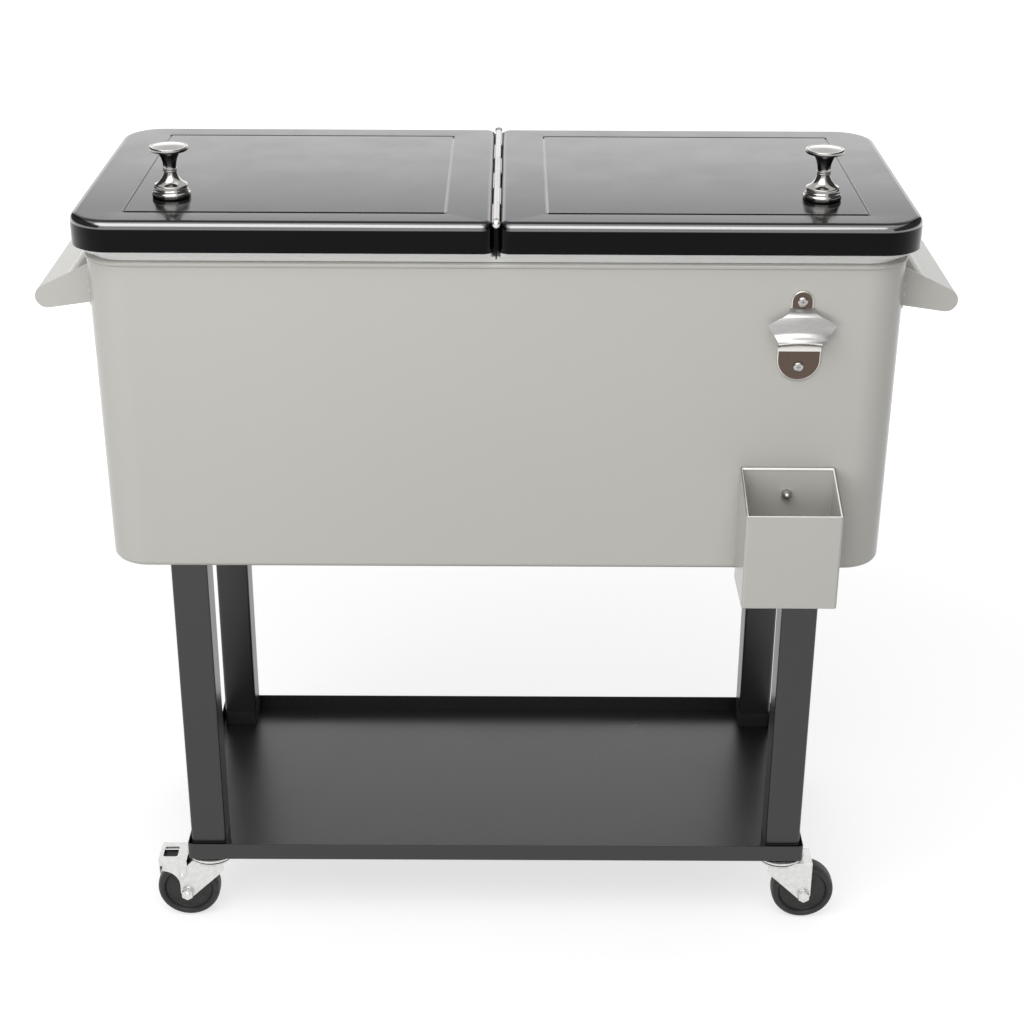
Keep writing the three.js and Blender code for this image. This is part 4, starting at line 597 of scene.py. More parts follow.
class COOLER_OT_hinge(bpy.types.Operator):
    """Draws the piano hinge: two leaves with interleaved knuckles on one ball-ended pin"""
    bl_idname = "cooler.hinge"
    bl_label = "Piano hinge"

    def execute(self, context):
        low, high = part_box("hinge_pin")
        axis_z = (low.z + high.z) / 2
        count, eye, gap = 6, 6 * MM, 0.5 * MM
        radius, bore, lip = 3.5 * MM, 2.3 * MM, 0.4 * MM
        half = (LID_HIGH.y - LID_LOW.y) / 2 - 6 * MM
        knuckle = (2 * half - 2 * eye - (count + 1) * gap) / count
        leaf_top, in_roll = axis_z - radius - 1 * MM, axis_z - radius / 2
        rolled = [(bore, 0), (radius - lip, 0), (radius, lip), (radius, knuckle - lip),
                  (radius - lip, knuckle), (bore, knuckle), (bore, 0)]
        for first, (side, sign) in enumerate(SIDES):
            leaf_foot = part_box(f"hinge_leaf_{side}")[0].z
            near, far = sorted((sign * 1.2 * MM, sign * 2.2 * MM))
            curl_near, curl_far = sorted((sign * 3.2 * MM, sign * 4.3 * MM))
            bm = bmesh.new()
            slab(bm, (near, MIDDLE - half + eye, leaf_foot), (far, MIDDLE + half - eye, leaf_top))
            finish_piece(bm, f"hinge_plate_{side}", f"lid_{side}_body", "lid_enamel", f"hinge_leaf_{side}")
            bm = bmesh.new()
            for number in range(first, count, 2):
                y = MIDDLE - half + eye + gap + number * (knuckle + gap)
                slab(bm, (near, y, leaf_top), (far, y + knuckle, in_roll))
                slab(bm, (curl_near, y, axis_z - 2.4 * MM), (curl_far, y + knuckle, axis_z + 0.9 * MM))
                turn(bm, rolled, 32, BACK, (0, y, axis_z))
            weld(bm)
            finish_piece(bm, f"hinge_knuckles_{side}", f"lid_{side}_body", "stainless")

        top, inside, wide, thick = TUB_HIGH.z + 6 * MM, TUB_Y - 30.3 * MM, 14 * MM, 1 * MM
        bm = bmesh.new()
        slab(bm, (-wide, MIDDLE - inside, top - 13 * MM), (wide, MIDDLE + inside, top))
        soften(bm, creases(bm), 1.2 * MM, 3)
        for way in (-1, 1):
            y = MIDDLE + way * (inside - thick)
            slab(bm, (-wide, y - thick, top - 22 * MM), (wide, y + thick, top - 2 * MM))
        finish_piece(bm, "center_bar_moulding", "tub", "liner_plastic", "hinge_center_bar")

        web = 0.7 * MM
        bm = bmesh.new()
        slab(bm, (-web, MIDDLE - inside, top - 1 * MM), (web, MIDDLE + inside, leaf_top - 1 * MM))
        for way in (-1, 1):
            edge = way * (half - 0.05 * MM)
            y0, y1 = sorted((MIDDLE + edge, MIDDLE + edge - way * (eye - 0.1 * MM)))
            slab(bm, (-web, y0, top + 0.6 * MM), (web, y1, in_roll))
            turn(bm, [(bore, 0), (radius, 0), (radius, y1 - y0), (bore, y1 - y0), (bore, 0)],
                 32, BACK, (0, y0, axis_z))
        weld(bm)
        finish_piece(bm, "center_bar_web", "tub", "frame_powder", look=("lid_enamel",))

        cap, start, reach = 4.55 * MM, half + 0.3 * MM, 7.4 * MM
        ball = [(2 * MM, start), (0.8 * cap, start), *arc((0, start + 3 * MM), cap, -24, 0, 4),
                *arc((0, start + reach - cap), cap, 8, 90, 10)]
        ball[-1] = (0, start + reach)
        bm = bmesh.new()
        turn(bm, [(r, -h) for r, h in reversed(ball)] + ball, 40, BACK, (0, MIDDLE, axis_z))
        weld(bm)
        finish_piece(bm, "hinge_ball_pin", "tub", "bright_chrome", "hinge_pin", look=("polished_stainless",))
        return {"FINISHED"}


class COOLER_OT_knobs(bpy.types.Operator):
    """Turns the two knobs: a shallow disc on a ringed waist and a stepped foot"""
    bl_idname = "cooler.knobs"
    bl_label = "Knobs"

    def execute(self, context):
        foot = [(0, 0), (19.3, 0), (19.9, 0.5), (20.1, 1.6), (20.1, 3.8), (19.8, 4.8), (19.1, 5.6),
                (18.6, 6.4), (18.4, 7.6), (18.1, 8.5), (17.6, 9), (17.4, 10.2), (17.4, 12), (17, 12.9)]
        waist = [(16, 13.3), (13.2, 14.9), (10.8, 17.4), (9, 20.2), (7.8, 23), (7.1, 25.2), (6.9, 25.8),
                 (7.5, 26.1), (7.8, 26.8), (7.5, 27.5), (6.9, 27.8), (7.5, 28.1), (7.8, 28.8),
                 (7.5, 29.5), (6.8, 29.9), (6.7, 31), (6.9, 33.4), (7.5, 37), (8.6, 40.6), (10, 43.8)]
        disc = [(11.5, 46.2), (12.6, 47.3), (14.2, 47.9), (18.2, 48.2), (19.5, 48.7), (20.1, 49.6),
                (20.2, 51), (20.1, 52), (19.6, 52.8), (18.9, 53.1), (18.1, 53.1), (17.5, 52.8),
                (17, 52.8), (8, 53.7), (0, 54)]
        for side, _ in SIDES:
            low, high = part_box(f"knob_{side}")
            bm = bmesh.new()
            turn(bm, in_metres(foot + waist + disc), 64, UP,
                 ((low.x + high.x) / 2, (low.y + high.y) / 2, low.z))
            weld(bm)
            finish_piece(bm, f"knob_turned_{side}", f"lid_{side}_body", "bright_chrome", f"knob_{side}",
                         crease=50)
        return {"FINISHED"}


# Fittings on the tub

def touching(point, centre, radius, side):
    """Direction of the line from a point that touches a circle above (1) or below (-1)."""
    dx, dz = centre[0] - point[0], centre[1] - point[1]
    return atan2(dz, dx) + side * asin(radius / hypot(dx, dz))


def on_circle(centre, radius, angle):
    """The point of a circle at an angle."""
    return (centre[0] + radius * cos(angle), centre[1] + radius * sin(angle))


class COOLER_OT_handles(bpy.types.Operator):
    """Draws the two folded side handles and the rivets in their flanges"""
    bl_idname = "cooler.handles"
    bl_label = "Side handles"

    def execute(self, context):
        low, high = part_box("handle_right")
        seat, top = low.x, high.z
        sheet, half, flange_out = 2 * MM, 117 * MM, 17 * MM
        tip, tip_r = (51 * MM, top - 39 * MM), 12.35 * MM
        root, under = (0, top), (0, top - 44 * MM)
        slope, lower = touching(root, tip, tip_r, 1), touching(under, tip, tip_r, -1)
        top_normal, low_normal = slope + pi / 2, lower - pi / 2

        curl_x, curl_r = 23.5 * MM, 9 * MM
        foot = curl_x - curl_r * cos(top_normal)
        curl = (curl_x, top + (foot + 2 * curl_r * cos(top_normal)) * tan(slope)
                - curl_r * sin(top_normal))
        first = -0.62 * pi
        dome = [(0, 0), (3.6, 0), (3.75, 0.35), (3.5, 0.95), (2.7, 1.55), (1.5, 1.9), (0, 2)]

        for side, side_sign in SIDES:
            bm = bmesh.new()
            for sign, near in ((-1, -half), (1, half - sheet)):
                arm = trace(bm, root, under, on_circle(tip, tip_r, low_normal),
                            (tip, top_normal - low_normal, 20))
                bmesh.ops.translate(bm, vec=(0, near, 0), verts=arm.verts)
                thicken(bm, [arm], (0, sheet, 0))
                flange = outline(bm, rectangle(0, flange_out, under[1], root[1], 0, 5 * MM), 0, 6)
                upright = Matrix(((0, 0, 1, 0), (sign, 0, 0, sign * (half - 0.4 * MM)), (0, 1, 0, 0),
                                  (0, 0, 0, 1)))
                bmesh.ops.transform(bm, matrix=upright, verts=flange.verts)
                thicken(bm, [flange], (sheet, 0, 0))

            wire = trace(bm, on_circle(tip, tip_r, first), (tip, top_normal - first, 28),
                         on_circle(curl, curl_r, top_normal), (curl, 0.68 * pi, 20), close=False)
            edges = list(dict.fromkeys(e for v in wire for e in v.link_edges))
            bmesh.ops.translate(bm, vec=(0, -half + sheet / 2, 0), verts=wire)
            made = bmesh.ops.extrude_edge_only(bm, edges=edges)["geom"]
            bmesh.ops.translate(bm, vec=(0, 2 * half - sheet, 0), verts=corners_in(made))
            skin = [f for f in made if isinstance(f, bmesh.types.BMFace)]
            bmesh.ops.recalc_face_normals(bm, faces=skin)
            if max(skin, key=lambda f: f.calc_center_median().x).normal.x < 0:
                bmesh.ops.reverse_faces(bm, faces=skin)
            bmesh.ops.solidify(bm, geom=skin, thickness=sheet)
            bmesh.ops.recalc_face_normals(bm, faces=bm.faces)
            soften(bm, creases(bm, 60), 0.35 * MM, 2)
            bmesh.ops.translate(bm, vec=(seat, MIDDLE, 0), verts=bm.verts)
            finish_piece(bm, f"handle_folded_{side}", "tub", "tub_paint", f"handle_{side}",
                         flip=side_sign < 0)

            bm = bmesh.new()
            for sign in (-1, 1):
                for drop in (18.4 * MM, 28.4 * MM):
                    turn(bm, in_metres(dome), 24, RIGHT,
                         (seat + sheet, MIDDLE + sign * 126 * MM, top - drop))
            weld(bm)
            finish_piece(bm, f"handle_rivets_{side}", "tub", "zinc", flip=side_sign < 0)
        return {"FINISHED"}


def hood_row(v):
    """Half width, reach, drop and bow of the opener's hood at a share v of the way down."""
    rows = ((0, 12, 0, 0), (0.06, 12.9, 0.16, 0.03), (0.13, 14.6, 0.34, 0.06), (0.21, 19.5, 0.46, 0.1),
            (0.33, 27.6, 0.52, 0.15), (0.48, 35.7, 0.58, 0.2), (0.62, 32.4, 0.63, 0.18),
            (0.75, 29.4, 0.69, 0.15), (0.85, 27, 0.8, 0.13), (0.94, 25.2, 0.95, 0.12), (1, 24.2, 1, 0.12))
    place = min(v, 0.9999) * (len(rows) - 1)
    number = int(place)
    share = place - number
    return [a + (b - a) * share for a, b in zip(rows[number], rows[number + 1])]


def pan_screw(bm, centre):
    """A pan-headed screw facing the front, with a cross recess in its head."""
    head = [(0, 0), (5.5, 0), (5.5, 0.7), (5.1, 1.5), (4.2, 2.2), (3.3, 2.6), (2.6, 2.7), (2.2, 1.9),
            (1.2, 1.3), (0, 1.2)]
    turn(bm, in_metres(head), 40, FRONT, centre)
    for vert in bm.verts:
        away = vert.co - centre
        if away.y < -1.2 * MM and hypot(away.x, away.z) < 2.7 * MM:
            lobe = 0.62 + 0.38 * cos(4 * atan2(away.z, away.x))
            vert.co = centre + Vector((away.x * lobe, away.y, away.z * lobe))


class COOLER_OT_opener(bpy.types.Operator):
    """Presses the wall bottle opener and sets its two cross-headed screws"""
    bl_idname = "cooler.opener"
    bl_label = "Bottle opener"

    def execute(self, context):
        low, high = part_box("bottle_opener")
        x, back, top = (low.x + high.x) / 2, high.y, high.z
        sheet, lip_sheet = 2 * MM, 1.4 * MM
        face = back - sheet
        tab_half, plate_half = 11.3 * MM, 22.5 * MM
        tab_bottom, plate_top, plate_height = top - 18 * MM, top - 64 * MM, 33 * MM
        lip_reach, lip_drop, lip_bow, hood_reach = 7 * MM, 9 * MM, 1.8 * MM, 20 * MM

        bm = bmesh.new()
        tab = trace(bm, (-tab_half, tab_bottom - 2 * MM), (tab_half, tab_bottom - 2 * MM),
                    (tab_half, top - tab_half), ((0, top - tab_half), pi, 24))
        centre = (0, plate_top - plate_height + plate_half)
        plate = trace(bm, (-plate_half, plate_top), (-plate_half, centre[1]), (centre, pi, 32),
                      (plate_half, plate_top))
        bmesh.ops.translate(bm, vec=(0, face, 0), verts=bm.verts)
        thicken(bm, [tab], (0, sheet, 0))
        thicken(bm, [plate], (0, sheet, 0))
        slab(bm, (-tab_half, face, plate_top + 8 * MM), (tab_half, back, tab_bottom))
        slab(bm, (-plate_half, face, plate_top - 1 * MM), (plate_half, back, plate_top + 9 * MM))
        bmesh.ops.recalc_face_normals(bm, faces=bm.faces)
        soften(bm, creases(bm, 60), 1.4 * MM, 4)
        # The flat fronts are satin, and every other face is tumbled bright.
        for side in bm.faces:
            side.material_index = int(side.normal.y < -0.99)
        lip = bmesh.ops.create_grid(bm, x_segments=20, y_segments=12, size=1)["verts"]
        for vert in lip:
            across, turned = vert.co.x, radians(45 * (vert.co.y + 1))
            arch = lip_bow * (1 - across * across)
            vert.co = Vector((plate_half * across, face - 0.2 * MM - lip_reach * (1 - cos(turned)),
                              plate_top + 0.3 * MM + (lip_drop + arch) * sin(turned)))
        skin = list(dict.fromkeys(f for v in lip for f in v.link_faces))
        bmesh.ops.solidify(bm, geom=skin, thickness=lip_sheet)
        bmesh.ops.recalc_face_normals(bm, faces=bm.faces)
        bmesh.ops.translate(bm, vec=(x, 0, 0), verts=bm.verts)
        finish_piece(bm, "opener_plate", "tub", "stainless", "bottle_opener",
                     look=("polished_stainless", "satin_stainless"))

        bm = bmesh.new()
        grid = bmesh.ops.create_grid(bm, x_segments=28, y_segments=40, size=1)["verts"]
        for vert in grid:
            across, down = vert.co.x, (1 - vert.co.y) / 2
            drop, wide, reach, bow = hood_row(down)
            arch = 2.5 * MM * drop * (1 - across * across)
            vert.co = Vector((wide * MM * across, face - hood_reach * reach * (1 - bow * across * across),
                              tab_bottom - plate_height * drop + arch))
        inner = [v for v in grid if not v.is_boundary]
        for _ in range(2):
            bmesh.ops.smooth_vert(bm, verts=inner, factor=0.5, use_axis_x=True, use_axis_y=True,
                                  use_axis_z=True)
        bmesh.ops.recalc_face_normals(bm, faces=bm.faces)
        if sum(f.normal.y for f in bm.faces) > 0:
            bmesh.ops.reverse_faces(bm, faces=bm.faces)
        bmesh.ops.solidify(bm, geom=bm.faces, thickness=sheet)
        bmesh.ops.recalc_face_normals(bm, faces=bm.faces)
        bmesh.ops.translate(bm, vec=(x, 0, 0), verts=bm.verts)
        finish_piece(bm, "opener_hood", "tub", "stainless")

        for place in ("upper", "lower"):
            low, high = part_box(f"opener_screw_{place}")
            bm = bmesh.new()
            pan_screw(bm, Vector(((low.x + high.x) / 2, face - 0.1 * MM, (low.z + high.z) / 2)))
            weld(bm)
            finish_piece(bm, f"opener_pan_screw_{place}", "tub", "stainless", f"opener_screw_{place}")
        return {"FINISHED"}


class COOLER_OT_catcher(bpy.types.Operator):
    """Folds the cap catcher and fits the domed nut inside it"""
    bl_idname = "cooler.catcher"
    bl_label = "Cap catcher"

    def execute(self, context):
        low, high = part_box("cap_catcher")
        corner, slope, hem, steps = 3 * MM, 24 / 75, 1.25 * MM, 12
        bm = bmesh.new()
        loft(bm, [(plan_of(low, high, corner), low.z), (plan_of(low, high, corner), high.z)],
             5, (True, False))
        soften(bm, level_edges(bm, low.z), 1.2 * MM, 3)
        bmesh.ops.bisect_plane(bm, geom=bm.verts[:] + bm.edges[:] + bm.faces[:], dist=1e-6,
                               plane_co=(0, high.y, high.z), plane_no=(0, -slope, 1), clear_outer=True)
        finish_piece(bm, "catcher_folded_box", "tub", "tub_paint", "cap_catcher", wall=1.5 * MM)

        # The hem is a round bead, drawn level and then leaned to the slope of the rim.
        levels = []
        for number in range(steps + 1):
            angle = 2 * pi * number / steps
            inset = hem - hem * cos(angle)
            levels.append((rectangle(low.x + inset, high.x - inset, low.y + inset,
                                     high.y - 0.05 * MM - inset, max(corner - inset, 0.4 * MM)),
                           hem * sin(angle)))
        bm = bmesh.new()
        loft(bm, levels, 5, (False, False))
        weld(bm)
        lean = Matrix.Identity(4)
        lean[2][1] = slope
        lean[2][3] = high.z - hem - slope * high.y
        # The hem is painted near white: a painted highlight along the catcher's rim.
        finish_piece(bm, "catcher_hem", "tub", "tub_paint", look=("painted_edge_highlight",), place=lean)

        low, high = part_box("catcher_cap_nut")
        seat = Vector(((low.x + high.x) / 2, high.y, (low.z + high.z) / 2))
        depth, dome_r, dome_seat = 5.5 * MM, 4.6 * MM, 6.3 * MM
        bm = bmesh.new()
        towards = Matrix.Translation(seat) @ Matrix.Rotation(pi / 2, 4, "X")
        rod(bm, 6, 5.75 * MM, depth, towards @ Matrix.Translation((0, 0, depth / 2)))
        soften(bm, creases(bm, 50), 0.4 * MM, 2)
        dome = [(0, 5.2 * MM), (dome_r, 5.2 * MM), *arc((0, dome_seat), dome_r, 0, 90, 10)]
        dome[-1] = (0, 10.9 * MM)
        turn(bm, dome, 32, FRONT, seat)
        weld(bm)
        finish_piece(bm, "catcher_domed_nut", "tub", "stainless", "catcher_cap_nut")
        return {"FINISHED"}


class COOLER_OT_drain(bpy.types.Operator):
    """Turns the drain spout and its ribbed screw cap at the back"""
    bl_idname = "cooler.drain"
    bl_label = "Drain"

    def execute(self, context):
        low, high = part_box("drain_spout")
        x, z = (low.x + high.x) / 2, (low.z + high.z) / 2
        seat = high.y - 17.5 * MM
        pipe, bore, flange = 11 * MM, 8 * MM, 3.5 * MM
        inner_end, outer_end = low.y - seat, high.y - seat
        rim = in_metres([(19.5, 0), (19.9, 0.4), (19.9, 1.9), (19.4, 2.8), (18.5, 3.3), (17.5, 3.5)])
        bm = bmesh.new()
        turn(bm, [(bore, inner_end), (pipe, inner_end), (pipe, 0), *rim, (pipe, flange), (pipe, outer_end),
                  (bore, outer_end), (bore, inner_end)], 48, BACK, (x, seat, z))
        weld(bm)
        finish_piece(bm, "drain_spout_turned", "tub", "liner_plastic", "drain_spout")

        low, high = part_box("drain_cap")
        bore, outer, depth, ribs = 11.4 * MM, 13.9 * MM, high.y - low.y, 24
        bm = bmesh.new()
        turn(bm, [(bore, 0), (outer, 0), (outer, depth - 1.4 * MM), (outer - 0.4 * MM, depth - 0.5 * MM),
                  (outer - 1.4 * MM, depth), (outer - 3.4 * MM, depth), (outer - 4 * MM, depth - 0.8 * MM),
                  (0, depth - 0.8 * MM), (0, depth - 2.5 * MM), (bore, depth - 2.5 * MM), (bore, 0)],
             48, BACK, (x, low.y, z))
        weld(bm)
        for number in range(ribs):
            across, up = on_circle((x, z), outer - 0.1 * MM, 2 * pi * number / ribs)
            spot = Matrix.Translation((across, low.y + (depth - 1.9 * MM) / 2, up))
            rod(bm, 10, 0.8 * MM, depth - 3.5 * MM, spot @ Matrix.Rotation(pi / 2, 4, "X"))
        finish_piece(bm, "drain_screw_cap", "drain_cap_body", "liner_plastic", "drain_cap")
        return {"FINISHED"}


# Stand

class COOLER_OT_stand(bpy.types.Operator):
    """Draws the four legs with their feet, and the shelf tray"""
    bl_idname = "cooler.stand"
    bl_label = "Legs and tray"

    def execute(self, context):
        sizes = context.scene.cooler_sizes
        foot_height = 20 * MM
        for corner in CASTERS:
            for node, name, slot in (("leg", "leg_tube", "frame_powder"),
                                     ("foot", "foot_block", "foot_plastic")):
                low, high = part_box(f"{node}_{corner}")
                if node == "foot":
                    high.z = low.z + foot_height
                shape = plan_of(low, high, sizes.leg_round)
                bm = bmesh.new()
                loft(bm, [(shape, low.z), (shape, high.z)], 5)
                soften(bm, level_edges(bm, low.z) + level_edges(bm, high.z), 0.5 * MM, 2)
                finish_piece(bm, f"{name}_{corner}", "tub", slot, f"{node}_{corner}")

        low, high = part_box("tray")
        shape = plan_of(low, high, 4 * MM)
        bm = bmesh.new()
        loft(bm, [(shape, low.z), (shape, high.z)], 6, (True, False))
        soften(bm, level_edges(bm, low.z), 1.5 * MM, 3)
        finish_piece(bm, "tray_folded", "tub", "frame_powder", "tray", wall=sizes.tray_sheet)
        return {"FINISHED"}


# Casters, drawn with the swivel axis on Z at the origin and the wheel trailing towards +X

CROWN_TOP = 81.4 * MM
CROWN_BOTTOM = 78.9 * MM
CHEEK_FRONT = -14 * MM
TRAIL = 30 * MM
AXLE_Z = 37.04 * MM
AXLE = (TRAIL, AXLE_Z)
SUNK = 0.06 * MM  # how far a plate stops short of the faces beside it


def caster_place(corner):
    """The place of a caster; the two on the left trail the other way."""
    low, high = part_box(f"caster_stem_{corner}")
    middle = Matrix.Translation(((low.x + high.x) / 2, (low.y + high.y) / 2, 0))
    return middle @ Matrix.Rotation(CASTERS[corner], 4, "Z")


def fork_plate(bm, braked):
    """One side plate: a slope to the axle's boss, an upright back, and a wing where it is braked."""
    boss, cheek = 8.5 * MM, CROWN_TOP - 14 * MM
    back = TRAIL + boss
    first = touching((CHEEK_FRONT, cheek), AXLE, boss, -1) - pi / 2
    moves = [(CHEEK_FRONT, cheek), on_circle(AXLE, boss, first), (AXLE, -first, 20)]
    if braked:
        wing_top, wing_end = CROWN_TOP - 6 * MM, 58.5 * MM
        bend = wing_end - back
        bend_z = wing_top - 8.5 * MM - bend
        moves += [(back, bend_z), ((wing_end, bend_z), -pi / 2, 14), (wing_end, wing_top),
                  (28.5 * MM, wing_top), (22.5 * MM, CROWN_TOP)]
    else:
        moves.append((back, CROWN_TOP))
    return trace(bm, (CHEEK_FRONT, CROWN_TOP), *moves)


class COOLER_OT_casters(bpy.types.Operator):
    """Builds the four swivel casters: race, fork, wheel and axle bolt"""
    bl_idname = "cooler.casters"
    bl_label = "Casters"

    def execute(self, context):
        sheet = context.scene.cooler_sizes.fork_sheet
        inner = 14 * MM
        outer = inner + sheet
        face = outer + 0.3 * MM
        race = [(5, 89.7), (28.4, 89.7), (29.3, 89.1), (29.3, 87.7), (28.5, 87.1), (27.3, 86.9),
                (26.7, 86.3), (26.7, 85.3), (26.1, 84.8), (24.9, 84.6), (24.2, 83.9), (22.6, 83.4),
                (20.8, 82.4), (19.8, 81.8), (16, 81.7), (4, 81.7), (4, 78.6), (6, 78.6), (6.5, 78.1),
                (6.5, 76.8), (5.4, 76.3), (0, 76.1)]
        crown = [(4.4, 78.8), (22.6, 78.8), (23.6, 79.4), (24.2, 80.2), (24.8, 80.8), (25.3, 81.5),
                 (25.2, 82.3), (24.3, 82.5), (23.3, 82.0), (22.4, 81.5), (4.4, 81.5), (4.4, 78.8)]
        wheel = [(37, 0), (36.95, 4), (36.6, 7), (35.8, 9.2), (34.6, 10.7), (33.2, 11.4), (32.4, 11.5),
                 (30.4, 11.5), (29.6, 11.2), (28.4, 9.6), (27.5, 7.4), (26.7, 6.5), (25.6, 6.2),
                 (13, 6.2), (11.4, 6.5), (10.2, 7.6), (9.4, 9.6), (9, 12.4), (8.5, 13), (4.4, 13)]
        wheel = [(r, -h) for r, h in reversed(wheel)] + wheel[1:] + [(4.4, -13)]
        washer = [(0, 0), (7.6, 0), (7.8, 0.2), (7.8, 1.0), (7.6, 1.2), (0, 1.2)]
        shank = [(0, -face - 7.2 * MM), (2.8 * MM, -face - 7.0 * MM), (4 * MM, -face - 6.2 * MM),
                 (4 * MM, face + 6.6 * MM), (3.3 * MM, face + 7.4 * MM), (0, face + 7.4 * MM)]
        for corner in CASTERS:
            place = caster_place(corner)
            braked = corner in BRAKED
            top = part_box(f"caster_stem_{corner}")[1].z / MM
            bm = bmesh.new()
            turn(bm, in_metres([(0, top), (4.2, top), (5, top - 0.8)] + race), 56)
            weld(bm)
            finish_piece(bm, f"caster_race_{corner}", "tub", "zinc", f"caster_stem_{corner}", place=place)

            crown_end = 22.5 * MM if braked else TRAIL + 8.5 * MM
            bm = bmesh.new()
            for y in (-outer, inner):
                plate = fork_plate(bm, braked)
                bmesh.ops.translate(bm, vec=(0, y, 0), verts=plate.verts)
                thicken(bm, [plate], (0, sheet, 0))
            slab(bm, (0, SUNK - outer, CROWN_BOTTOM + SUNK),
                 (crown_end - SUNK, outer - SUNK, CROWN_TOP - SUNK))
            bmesh.ops.recalc_face_normals(bm, faces=bm.faces)
            soften(bm, creases(bm, 30), 0.5 * MM, 3)
            turn(bm, in_metres(crown), 56)
            weld(bm)
            finish_piece(bm, f"caster_yoke_{corner}", f"swivel_{corner}", "zinc", f"caster_fork_{corner}",
                         place=place)

            bm = bmesh.new()
            turn(bm, in_metres(wheel), 72, BACK, (TRAIL, 0, AXLE_Z))
            weld(bm)
            finish_piece(bm, f"caster_tyre_{corner}", f"wheel_{corner}", "wheel_rubber",
                         f"caster_wheel_{corner}", place=place)

            bm = bmesh.new()
            for way in (-1, 1):
                spot = Matrix.Translation((TRAIL, way * (face + 3.6 * MM), AXLE_Z))
                rod(bm, 6, 7.4 * MM, 4.8 * MM, spot @ Matrix.Rotation(pi / 2, 4, "X"))
            soften(bm, creases(bm, 30), 0.7 * MM, 2)
            for way in (-1, 1):
                turn(bm, in_metres(washer), 32, way * BACK, (TRAIL, way * face, AXLE_Z))
            turn(bm, shank, 24, BACK, (TRAIL, 0, AXLE_Z))
            weld(bm)
            finish_piece(bm, f"caster_bolt_{corner}", f"swivel_{corner}", "zinc", f"caster_axle_{corner}",
                         place=place, crease=30)
        return {"FINISHED"}


class COOLER_OT_pedals(bpy.types.Operator):
    """Presses the two brake pedals with their finger holes and rivets"""
    bl_idname = "cooler.pedals"
    bl_label = "Brake pedals"

    def execute(self, context):
        sheet, inner, top = 1.6 * MM, 17 * MM, 83.8 * MM
        outer, middle, foot = inner + sheet, top - sheet / 2, top - 8 * MM
        start, end, wide = 28.5 * MM, 62 * MM, outer + 0.6 * MM
        pivot_x, pivot_z, boss = 35 * MM, 61 * MM, 5 * MM
        hole_start, hole_end, hole_half = 40.5 * MM, 57.5 * MM, 10 * MM
        shoe_start, shoe_end, shoe_half = 41 * MM, 59.5 * MM, 11.5 * MM
        head = [(0, 0), (3.1, 0), (3.3, 0.3), (3.0, 0.9), (2.1, 1.35), (0, 1.5)]
        for corner in BRAKED:
            bm = bmesh.new()
            rim = open_outline(bm, rectangle(start, end, -wide, wide, 0, 1.5 * MM), top, 6)
            lip = open_outline(bm, rectangle(hole_start, hole_end, -hole_half, hole_half, 2.5 * MM), top, 6)
            bmesh.ops.bridge_loops(bm, edges=rim + lip)
            thicken(bm, bm.faces[:], (0, 0, -sheet))
            for y in (SUNK - outer, inner - SUNK):
                ear = trace(bm, (end - 0.6 * MM, middle), (start + SUNK, middle), (start + SUNK, foot),
                            (pivot_x - boss, pivot_z), ((pivot_x, pivot_z), pi, 16),
                            (pivot_x + boss, foot), (end - 0.6 * MM, foot))
                bmesh.ops.translate(bm, vec=(0, y, 0), verts=ear.verts)
                thicken(bm, [ear], (0, sheet, 0))
            slab(bm, (end - sheet, 2 * SUNK - outer, top - 19 * MM),
                 (end - 0.5 * MM, outer - 2 * SUNK, middle))
            slab(bm, (hole_start - sheet, -hole_half, top - 10 * MM), (hole_start, hole_half, middle))
            bmesh.ops.recalc_face_normals(bm, faces=bm.faces)
            soften(bm, creases(bm), 0.45 * MM, 3)
            for way in (-1, 1):
                turn(bm, in_metres(head), 24, way * BACK, (pivot_x, way * outer, pivot_z))
            weld(bm)
            finish_piece(bm, f"pedal_pressing_{corner}", f"pedal_{corner}", "zinc",
                         f"brake_pedal_{corner}", place=caster_place(corner))
            bm = bmesh.new()
            slab(bm, (shoe_start, -shoe_half, top - 9.5 * MM), (shoe_end, shoe_half, top - 5 * MM))
            soften(bm, creases(bm), 0.8 * MM, 3)
            finish_piece(bm, f"pedal_brake_shoe_{corner}", f"pedal_{corner}", "foot_plastic",
                         place=caster_place(corner))
        return {"FINISHED"}


class COOLER_OT_kept(bpy.types.Operator):
    """Gives the plain inner parts of the frame their real finishes"""
    bl_idname = "cooler.kept"
    bl_label = "Inner parts"

    def execute(self, context):
        for name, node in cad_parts.items():
            if node.hide_render:
                continue
            finish = "zinc"
            if "insulation" in name:
                finish = "foam"
            elif name.startswith("drain"):
                finish = "liner_plastic"
            for place in node.material_slots:
                place.material = material(finish)
        return {"FINISHED"}


def seen_share(tree):
    """1 for what the camera, gloss or glass sees, and 0 for the light that falls on the object."""
    path = add_node(tree, "ShaderNodeLightPath").outputs
    share = path["Is Camera Ray"]
    for ray in ("Is Glossy Ray", "Is Transmission Ray"):
        either = add_node(tree, "ShaderNodeMath", {"operation": "MAXIMUM"}, {0: share, 1: path[ray]})
        share = either.outputs[0]
    return share


